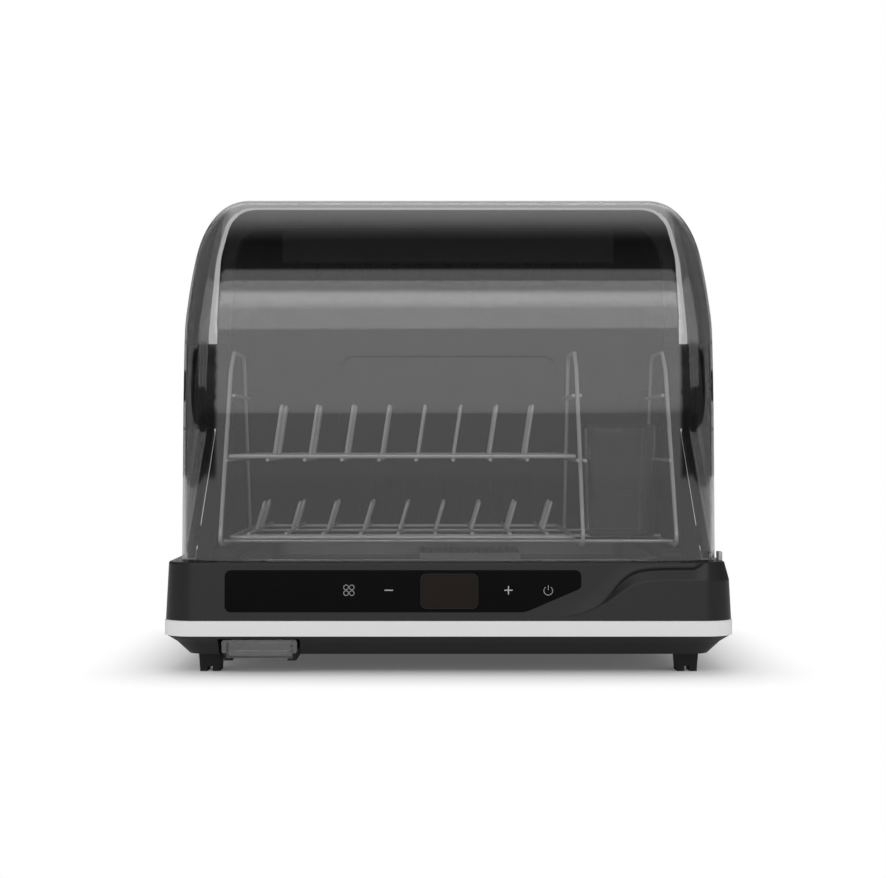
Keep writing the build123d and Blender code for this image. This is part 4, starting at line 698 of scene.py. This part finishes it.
def panelMatrix():
    # the panel's own plane: X right, Y up along the leaning face, Z out of it
    middle = (panelSizes["bottom"] + panelSizes["top"]) / 2
    lean = math.atan2(shellSizes["lean"], shellSizes["top"] - shellSizes["bottom"])
    face = -shellSizes["halfDepth"] + math.tan(lean) * (middle - shellSizes["bottom"])
    place = Matrix.Translation(Vector((0, face, middle)) * millimetre)
    return place @ Matrix.Rotation(math.pi / 2 - lean, 4, "X")


def roundedLoop(corners, radii, steps=12):
    # a closed outline whose corners are arcs
    points = []
    for number, (corner, radius) in enumerate(zip(corners, radii)):
        corner = Vector(corner)
        before = (Vector(corners[number - 1]) - corner).normalized()
        after = (Vector(corners[(number + 1) % len(corners)]) - corner).normalized()
        half = before.angle(after) / 2
        reach = radius / math.tan(half)
        centre = corner + (before + after).normalized() * radius / math.sin(half)
        start = corner + before * reach - centre
        turn = start.angle_signed(corner + after * reach - centre)
        for step in range(steps + 1):
            angle = -turn * step / steps
            points.append(centre + Vector((start.x * math.cos(angle) - start.y * math.sin(angle),
                                           start.x * math.sin(angle) + start.y * math.cos(angle))))
    return points


def flatCurve(name, loops, thick, edge):
    # a flat plate with holes and a small rounded edge, lying from 0 to thick
    curve = bpy.data.curves.new(name, "CURVE")
    curve.dimensions = "2D"
    curve.fill_mode = "BOTH"
    curve.extrude = (thick / 2 - edge) * millimetre
    curve.bevel_depth = edge * millimetre
    curve.bevel_resolution = 3
    curve.offset = -edge * millimetre
    for loop in loops:
        spline = curve.splines.new("POLY")
        spline.points.add(len(loop) - 1)
        for point, place in zip(spline.points, loop):
            point.co = (place.x * millimetre, place.y * millimetre, 0, 1)
        spline.use_cyclic_u = True
    return curve


def rectangleLoop(centreX, centreY, width, height, corner):
    low = (centreX - width / 2, centreY - height / 2)
    high = (centreX + width / 2, centreY + height / 2)
    corners = [low, (high[0], low[1]), high, (low[0], high[1])]
    return roundedLoop(corners, [corner] * 4)


def makePanel():
    sizes = panelSizes
    middle = (sizes["bottom"] + sizes["top"]) / 2
    low, high = sizes["bottom"] - middle, sizes["top"] - middle
    corners = [(sizes["left"], low), (sizes["cutX"], low), (sizes["right"], sizes["cutZ"] - middle),
               (sizes["right"], high), (sizes["left"], high)]
    outline = roundedLoop(corners, [sizes["corner"], *sizes["cutRounds"], sizes["corner"], sizes["corner"]])
    gap = sizes["windowGap"]
    window = rectangleLoop(sizes["windowX"], 0, sizes["windowWidth"] + 2 * gap, sizes["windowHeight"] + 2 * gap,
                           sizes["windowCorner"])
    plate = curveMesh(flatCurve("controlPanel", [outline, window], sizes["thick"], sizes["edge"]))
    plate.transform(panelMatrix() @ Matrix.Translation((0, 0, (sizes["proud"] - sizes["thick"] / 2) * millimetre)))
    finishPiece("controlPanel", plate, "cabinet", "gloss_panel", nodes=["control_panel"])
    pane = rectangleLoop(sizes["windowX"], 0, sizes["windowWidth"], sizes["windowHeight"], sizes["windowCorner"])
    glass = curveMesh(flatCurve("displayWindow", [pane], sizes["thick"], sizes["edge"]))
    drop = sizes["proud"] - sizes["windowDrop"] - sizes["thick"] / 2
    glass.transform(panelMatrix() @ Matrix.Translation((0, 0, drop * millimetre)))
    finishPiece("displayWindow", glass, "cabinet", "smoked_window", nodes=["display_window"])


def strokes(name, lines, closed, radius):
    # thin printed lines on the panel, each a flattened round stroke
    curve = bpy.data.curves.new(name, "CURVE")
    curve.dimensions = "3D"
    curve.bevel_depth = radius * millimetre
    curve.bevel_resolution = 2
    curve.use_fill_caps = True
    for line, loops in zip(lines, closed):
        spline = curve.splines.new("POLY")
        spline.points.add(len(line) - 1)
        for point, (x, y) in zip(spline.points, line):
            point.co = (x * millimetre, y * millimetre, 0, 1)
        spline.use_cyclic_u = loops
    mesh = curveMesh(curve)
    flatten = Matrix.Diagonal((1, 1, 0.25, 1))
    mesh.transform(panelMatrix() @ Matrix.Translation((0, 0, panelSizes["proud"] * millimetre)) @ flatten)
    return mesh


def arcLine(centreX, centreY, radius, start, end, steps):
    return [(centreX + radius * math.cos(math.radians(start + (end - start) * number / steps)),
             centreY + radius * math.sin(math.radians(start + (end - start) * number / steps)))
            for number in range(steps + 1)]


symbolPlaces = {"clover": -80.0, "minus": -48.0, "plus": 48.0, "power": 80.0}
symbolSizes = {
    "petal": 1.9,             # radius of a clover ring
    "petalPlace": 2.3,        # and its centre's distance from the clover's middle
    "ring": 3.5,
    "ringDrop": 0.4,
    "ringGap": (125, 415),    # the power ring is open at its top
    "stem": (0.2, 4.2),
    "bar": 3.4,               # half the length of a minus or plus bar
    "ringSteps": 32,
}


def makeSymbols():
    sizes = symbolSizes
    y = panelSizes["symbolZ"] - (panelSizes["bottom"] + panelSizes["top"]) / 2
    steps, offset, bar = sizes["ringSteps"], sizes["petalPlace"], sizes["bar"]
    lines, closed = [], []
    for acrossX in (-1, 1):
        for acrossY in (-1, 1):
            centreX = symbolPlaces["clover"] + acrossX * offset
            lines.append(arcLine(centreX, y + acrossY * offset, sizes["petal"], 0, 360 - 360 / steps, steps - 1))
            closed.append(True)
    power = symbolPlaces["power"]
    lines.append(arcLine(power, y - sizes["ringDrop"], sizes["ring"], *sizes["ringGap"], steps))
    lines.append([(power, y + height) for height in sizes["stem"]])
    closed += [False, False]
    thin = strokes("roundSymbols", lines, closed, panelSizes["stroke"])
    finishPiece("roundSymbols", thin, "cabinet", "latch_grey")
    bars = [[(symbolPlaces[name] - bar, y), (symbolPlaces[name] + bar, y)] for name in ("minus", "plus")]
    bars.append([(symbolPlaces["plus"], y - bar), (symbolPlaces["plus"], y + bar)])
    bold = strokes("barSymbols", bars, [False] * 3, panelSizes["boldStroke"])
    finishPiece("barSymbols", bold, "cabinet", "latch_grey")


makePanel()
makeSymbols()
print("panel built")


# wire racks: bent paths, swept and repeated by one Geometry Nodes tree

rackSizes = {
    "frameWire": 1.75,        # radii of the two gauges of wire
    "rodWire": 1.5,
    "sink": 0.3,              # how far crossing wires are welded into each other
    "bendSteps": 7,
    "sides": 14,
    "framePoints": ((-138.0, 0.0), (-56.0, 148.0), (-32.0, 164.0), (50.0, 164.0), (106.0, 0.0)),
    "frameBends": (9.0, 16.0, 16.0, 16.0, 9.0),
    "railLevels": (70.4, 126.0),
    "railFront": -118.0,
    "crossPlaces": (-110.0, -20.0, 78.0),
    "divider": 77.0,          # from the right side frame to the middle one
    "rimBend": 10.0,
    "prongPitch": 31.0,
    "prongLean": 7.0,
    "prongBend": 6.0,
    "prongRows": (-52.0, -8.0),
    "upperFirst": 32.0,
    "upperHeight": 46.0,
    "lowerFirst": 22.0,
    "lowerHeight": 24.0,
    "prongRound": 0.8,        # how much of the bend the prong's top corners round off
    "clearEnd": 14.0,         # the last prong wire stays this far from the rim
    "lowerShift": 7.0,        # the lower rack's prongs start this much further left
}


def makeWireTree():
    # sweeps the paths it is given with a round wire, and repeats the result along X
    tree = bpy.data.node_groups.new("repeatedWire", "GeometryNodeTree")
    for label, kind, value in (("Geometry", "NodeSocketGeometry", None), ("Radius", "NodeSocketFloat", 0.0015),
                               ("Sides", "NodeSocketInt", 12), ("Count", "NodeSocketInt", 1),
                               ("Pitch", "NodeSocketFloat", 0.03), ("Material", "NodeSocketMaterial", None)):
        socket = tree.interface.new_socket(name=label, in_out="INPUT", socket_type=kind)
        if value is not None:
            socket.default_value = value
    tree.interface.new_socket(name="Geometry", in_out="OUTPUT", socket_type="NodeSocketGeometry")
    start = tree.nodes.new("NodeGroupInput")
    end = tree.nodes.new("NodeGroupOutput")
    path = tree.nodes.new("GeometryNodeMeshToCurve")
    profile = tree.nodes.new("GeometryNodeCurvePrimitiveCircle")
    sweep = tree.nodes.new("GeometryNodeCurveToMesh")
    sweep.inputs["Fill Caps"].default_value = True
    row = tree.nodes.new("GeometryNodeMeshLine")
    offset = tree.nodes.new("ShaderNodeCombineXYZ")
    repeat = tree.nodes.new("GeometryNodeInstanceOnPoints")
    real = tree.nodes.new("GeometryNodeRealizeInstances")
    finish = tree.nodes.new("GeometryNodeSetMaterial")
    for source, target in (
            (start.outputs["Geometry"], path.inputs["Mesh"]), (start.outputs["Radius"], profile.inputs["Radius"]),
            (start.outputs["Sides"], profile.inputs["Resolution"]), (path.outputs["Curve"], sweep.inputs["Curve"]),
            (profile.outputs["Curve"], sweep.inputs["Profile Curve"]), (start.outputs["Count"], row.inputs["Count"]),
            (start.outputs["Pitch"], offset.inputs["X"]), (offset.outputs["Vector"], row.inputs["Offset"]),
            (row.outputs["Mesh"], repeat.inputs["Points"]), (sweep.outputs["Mesh"], repeat.inputs["Instance"]),
            (repeat.outputs["Instances"], real.inputs["Geometry"]),
            (real.outputs["Geometry"], finish.inputs["Geometry"]),
            (start.outputs["Material"], finish.inputs["Material"]),
            (finish.outputs["Geometry"], end.inputs["Geometry"])):
        tree.links.new(source, target)
    return tree


wireTree = makeWireTree()


def bentPath(points, bends, closed=False):
    # a line of points whose inner corners are arcs
    points = [Vector(point) for point in points]
    steps = rackSizes["bendSteps"]
    path = []
    for number, point in enumerate(points):
        if not closed and number in (0, len(points) - 1):
            path.append(point)
            continue
        before = (points[number - 1] - point).normalized()
        after = (points[(number + 1) % len(points)] - point).normalized()
        half = before.angle(after) / 2
        bend = bends[number] if closed else bends[number - 1]
        reach = bend / math.tan(half)
        for step in range(steps + 1):
            share = step / steps
            path.append(point + before * reach * (1 - share) ** 2 + after * reach * share ** 2)
    return path, closed


def wirePiece(name, paths, body, radius, count=1, pitch=0.0, nodes=()):
    points, edges = [], []
    for path, closed in paths:
        first = len(points)
        points += [point * millimetre for point in path]
        edges += [(number, number + 1) for number in range(first, len(points) - 1)]
        if closed:
            edges.append((len(points) - 1, first))
    guide = bpy.data.meshes.new(name)
    guide.from_pydata(points, edges, [])
    holder = bpy.data.objects.new(name + "Guide", guide)
    bpy.context.scene.collection.objects.link(holder)
    modifier = holder.modifiers.new("wire", "NODES")
    modifier.node_group = wireTree
    values = {"Radius": radius * millimetre, "Sides": rackSizes["sides"], "Count": count,
              "Pitch": pitch * millimetre, "Material": materials["rack_chrome"]}
    for item in wireTree.interface.items_tree:
        if item.in_out == "INPUT" and item.name in values:
            modifier[item.identifier] = values[item.name]
    bpy.context.view_layer.update()
    mesh = bpy.data.meshes.new_from_object(holder.evaluated_get(bpy.context.evaluated_depsgraph_get()))
    bpy.data.objects.remove(holder)
    finishPiece(name, mesh, body, "rack_chrome", nodes, smoothBelow=50)


def prongPath(x, frontY, backY, z, height):
    # a wire from front to back, and the two leaning prongs that stand on it
    sizes = rackSizes
    lean, bend = sizes["prongLean"], sizes["prongBend"]
    paths = [bentPath([(x, frontY, z), (x, backY, z)], ())]
    for y in sizes["prongRows"]:
        paths.append(bentPath([(x, y - bend, z), (x + lean, y - bend, z + height), (x + lean, y + bend, z + height),
                               (x, y + bend, z)], (bend * sizes["prongRound"],) * 2))
    return paths


def makeRackStand():
    sizes = rackSizes
    low, high = inMillimetres("rack_stand")
    rodRadius, frameRadius = sizes["rodWire"], sizes["frameWire"]
    half = high.x - frameRadius
    divider = half - sizes["divider"]
    foot = low.z + frameRadius
    weld = frameRadius + rodRadius - sizes["sink"]
    frames = [bentPath([(x, y, foot + rise) for y, rise in sizes["framePoints"]], sizes["frameBends"], True)
              for x in (-half, divider, half)]
    wirePiece("standFrames", frames, "cabinet", frameRadius, nodes=["rack_stand"])
    rods = [bentPath([(-half, y, foot + weld), (half, y, foot + weld)], ()) for y in sizes["crossPlaces"]]
    (frontLow, backLow), (frontHigh, backHigh) = sizes["framePoints"][4], sizes["framePoints"][3]
    for rise in sizes["railLevels"]:
        back = frontLow + (rise - backLow) / (backHigh - backLow) * (frontHigh - frontLow) + 2 * rodRadius
        front = sizes["railFront"] + (rise - sizes["railLevels"][0])
        for x in (weld - half, divider - weld, divider + weld, half - weld):
            rods.append(bentPath([(x, front, foot + rise), (x, back, foot + rise)], ()))
    wirePiece("standRods", rods, "cabinet", rodRadius)


def makeRack(node, body, first, height, below):
    # a rounded rim, and the prong wires that are welded under or over it
    sizes = rackSizes
    low, high = inMillimetres(node)
    rodRadius, frameRadius = sizes["rodWire"], sizes["frameWire"]
    weld = frameRadius + rodRadius - sizes["sink"]
    z = low.z + rodRadius + weld if below else low.z + frameRadius
    left, right = low.x + frameRadius, high.x - frameRadius
    front, back = low.y + frameRadius, high.y - frameRadius
    rim = bentPath([(left, front, z), (right, front, z), (right, back, z), (left, back, z)],
                   (sizes["rimBend"],) * 4, True)
    wirePiece(node + "Rim", [rim], body, frameRadius, nodes=[node])
    if below:
        rods = [bentPath([(left, y, z), (right, y, z)], ()) for y in sizes["prongRows"]]
        wirePiece(node + "Rods", rods, body, rodRadius)
    row = prongPath(left + first, front, back, z + (-weld if below else weld), height)
    count = int((right - sizes["clearEnd"] - left - first) // sizes["prongPitch"]) + 1
    wirePiece(node + "Prongs", row, body, rodRadius, count, sizes["prongPitch"])


makeRackStand()
makeRack("upper_rack", "upper_rack", rackSizes["upperFirst"], rackSizes["upperHeight"], True)
makeRack("lower_rack", "cabinet", rackSizes["lowerFirst"] - rackSizes["lowerShift"],
         rackSizes["lowerHeight"], False)
print("racks built")


# studio

studio = {
    "floorSize": 8.0,
    "floorColour": 0.92,
    "footprint": (0.20, 0.15, 0.0),
    "nearFloor": 0.02,        # past the footprint the floor shows shadow up to here
    "farFloor": 0.11,         # and is plain white from here
    "underFloor": 0.09,       # share of glow left under the object: painted light that lifts its shadow
    "worldLevel": 0.70,
    "floorDimming": 0.5,      # gloss sees the far floor this much darker
    "windowStart": 0.20,      # what gloss sees falls off from here to the side
    "windowEnd": 0.34,        # down to sideLevel here
    "sideLevel": 0.10,
}
# what gloss sees round the object, by angle from the front over the top to the back, in degrees
surroundings = ((0, 0.18), (2, 0.20), (3, 0.34), (29, 0.36), (30, 0.66), (36, 0.66), (38, 0.21),
                (54, 0.21), (56, 0.02), (86, 0.01), (95, 0.04), (116, 0.18), (180, 0.18))
surroundingsPeak = 3.0


def makeFloor():
    mesh = bpy.data.meshes.new("floor")
    form = bmesh.new()
    bmesh.ops.create_grid(form, x_segments=8, y_segments=8, size=studio["floorSize"])
    form.to_mesh(mesh)
    form.free()
    floor = bpy.data.objects.new("floor", mesh)
    bpy.context.scene.collection.objects.link(floor)
    material = bpy.data.materials.new("floorWhite")
    material.use_nodes = True
    tree = material.node_tree
    shader = tree.nodes["Principled BSDF"]
    level = studio["floorColour"]
    shader.inputs["Base Color"].default_value = (level, level, level, 1)
    shader.inputs["Roughness"].default_value = 0.9
    shader.inputs["Specular IOR Level"].default_value = 0.0
    glow = tree.nodes.new("ShaderNodeEmission")
    place = tree.nodes.new("ShaderNodeTexCoord")
    previous = place.outputs["Object"]
    for operation, value in (("ABSOLUTE", (0, 0, 0)), ("SUBTRACT", studio["footprint"]), ("MAXIMUM", (0, 0, 0))):
        step = tree.nodes.new("ShaderNodeVectorMath")
        step.operation = operation
        tree.links.new(previous, step.inputs[0])
        step.inputs[1].default_value = value
        previous = step.outputs["Vector"]
    length = tree.nodes.new("ShaderNodeVectorMath")
    length.operation = "LENGTH"
    tree.links.new(previous, length.inputs[0])
    fade = tree.nodes.new("ShaderNodeMapRange")
    fade.interpolation_type = "SMOOTHSTEP"
    fade.inputs["From Min"].default_value = studio["nearFloor"]
    fade.inputs["From Max"].default_value = studio["farFloor"]
    # the floor still glows a little under the object, a painted light that lightens the object's shadow there
    fade.inputs["To Min"].default_value = studio["underFloor"]
    tree.links.new(length.outputs["Value"], fade.inputs["Value"])
    mix = tree.nodes.new("ShaderNodeMixShader")
    tree.links.new(fade.outputs["Result"], mix.inputs["Fac"])
    tree.links.new(shader.outputs["BSDF"], mix.inputs[1])
    tree.links.new(glow.outputs["Emission"], mix.inputs[2])
    path = tree.nodes.new("ShaderNodeLightPath")
    mirrored = mathNode(tree, "MINIMUM", path.outputs["Glossy Depth"], 1.0)
    dimmed = mathNode(tree, "MULTIPLY", mirrored, studio["floorDimming"])
    tree.links.new(mathNode(tree, "SUBTRACT", 1.0, dimmed), glow.inputs["Strength"])
    tree.links.new(mix.outputs["Shader"], tree.nodes["Material Output"].inputs["Surface"])
    mesh.materials.append(material)


def makeWorld():
    world = bpy.data.worlds.new("studio")
    bpy.context.scene.world = world
    world.use_nodes = True
    tree = world.node_tree
    back = tree.nodes["Background"]
    back.inputs["Color"].default_value = (1, 1, 1, 1)
    place = tree.nodes.new("ShaderNodeTexCoord")
    parts = tree.nodes.new("ShaderNodeSeparateXYZ")
    tree.links.new(place.outputs["Generated"], parts.inputs["Vector"])
    toFront = mathNode(tree, "MULTIPLY", parts.outputs["Y"], -1.0)
    angle = mathNode(tree, "ARCTAN2", parts.outputs["Z"], toFront)
    share = mathNode(tree, "DIVIDE", mathNode(tree, "MAXIMUM", angle, 0.0), math.pi, clamp=True)
    seen = rampNode(tree, share, [(degrees / 180, level) for degrees, level in surroundings])
    path = tree.nodes.new("ShaderNodeLightPath")
    window = tree.nodes.new("ShaderNodeMapRange")
    window.interpolation_type = "SMOOTHSTEP"
    window.inputs["From Min"].default_value = studio["windowStart"]
    window.inputs["From Max"].default_value = studio["windowEnd"]
    window.inputs["To Min"].default_value = 1.0
    window.inputs["To Max"].default_value = studio["sideLevel"]
    tree.links.new(mathNode(tree, "ABSOLUTE", parts.outputs["X"]), window.inputs["Value"])
    framed = mathNode(tree, "MULTIPLY", seen, window.outputs["Result"])
    mirrored = mathNode(tree, "MINIMUM", path.outputs["Glossy Depth"], 1.0)
    straight = mathNode(tree, "SUBTRACT", path.outputs["Is Transmission Ray"], mirrored, clamp=True)
    plain = mathNode(tree, "MAXIMUM", path.outputs["Is Camera Ray"], straight)
    glossy = mathNode(tree, "SUBTRACT", mirrored, path.outputs["Is Diffuse Ray"], clamp=True)
    other = mathNode(tree, "SUBTRACT", 1.0, glossy, clamp=True)
    ambient = mathNode(tree, "MULTIPLY", other, studio["worldLevel"])
    reflected = mathNode(tree, "MULTIPLY", mathNode(tree, "MULTIPLY", framed, surroundingsPeak), glossy)
    level = mathNode(tree, "MAXIMUM", mathNode(tree, "ADD", ambient, reflected), plain)
    tree.links.new(level, back.inputs["Strength"])


def makeSoftbox(name, place, aim, width, height, power):
    data = bpy.data.lights.new(name, "AREA")
    data.shape = "RECTANGLE"
    data.size = width
    data.size_y = height
    data.energy = power
    light = bpy.data.objects.new(name, data)
    light.location = place
    light.rotation_euler = (Vector(aim) - Vector(place)).to_track_quat("-Z", "Y").to_euler()
    light.visible_glossy = False
    bpy.context.scene.collection.objects.link(light)


softboxes = {
    "frontSoftbox": {"place": (0.0, -1.9, 1.5), "aim": (0, 0, 0.2), "width": 2.4, "height": 0.9, "power": 14},
    "leftSoftbox": {"place": (-1.7, -0.9, 1.0), "aim": (0, 0, 0.2), "width": 1.2, "height": 1.2, "power": 6},
    "rightSoftbox": {"place": (1.7, -0.9, 1.0), "aim": (0, 0, 0.2), "width": 1.2, "height": 1.2, "power": 6},
}

makeFloor()
makeWorld()
for name, box in softboxes.items():
    makeSoftbox(name, **box)
print("studio lit")
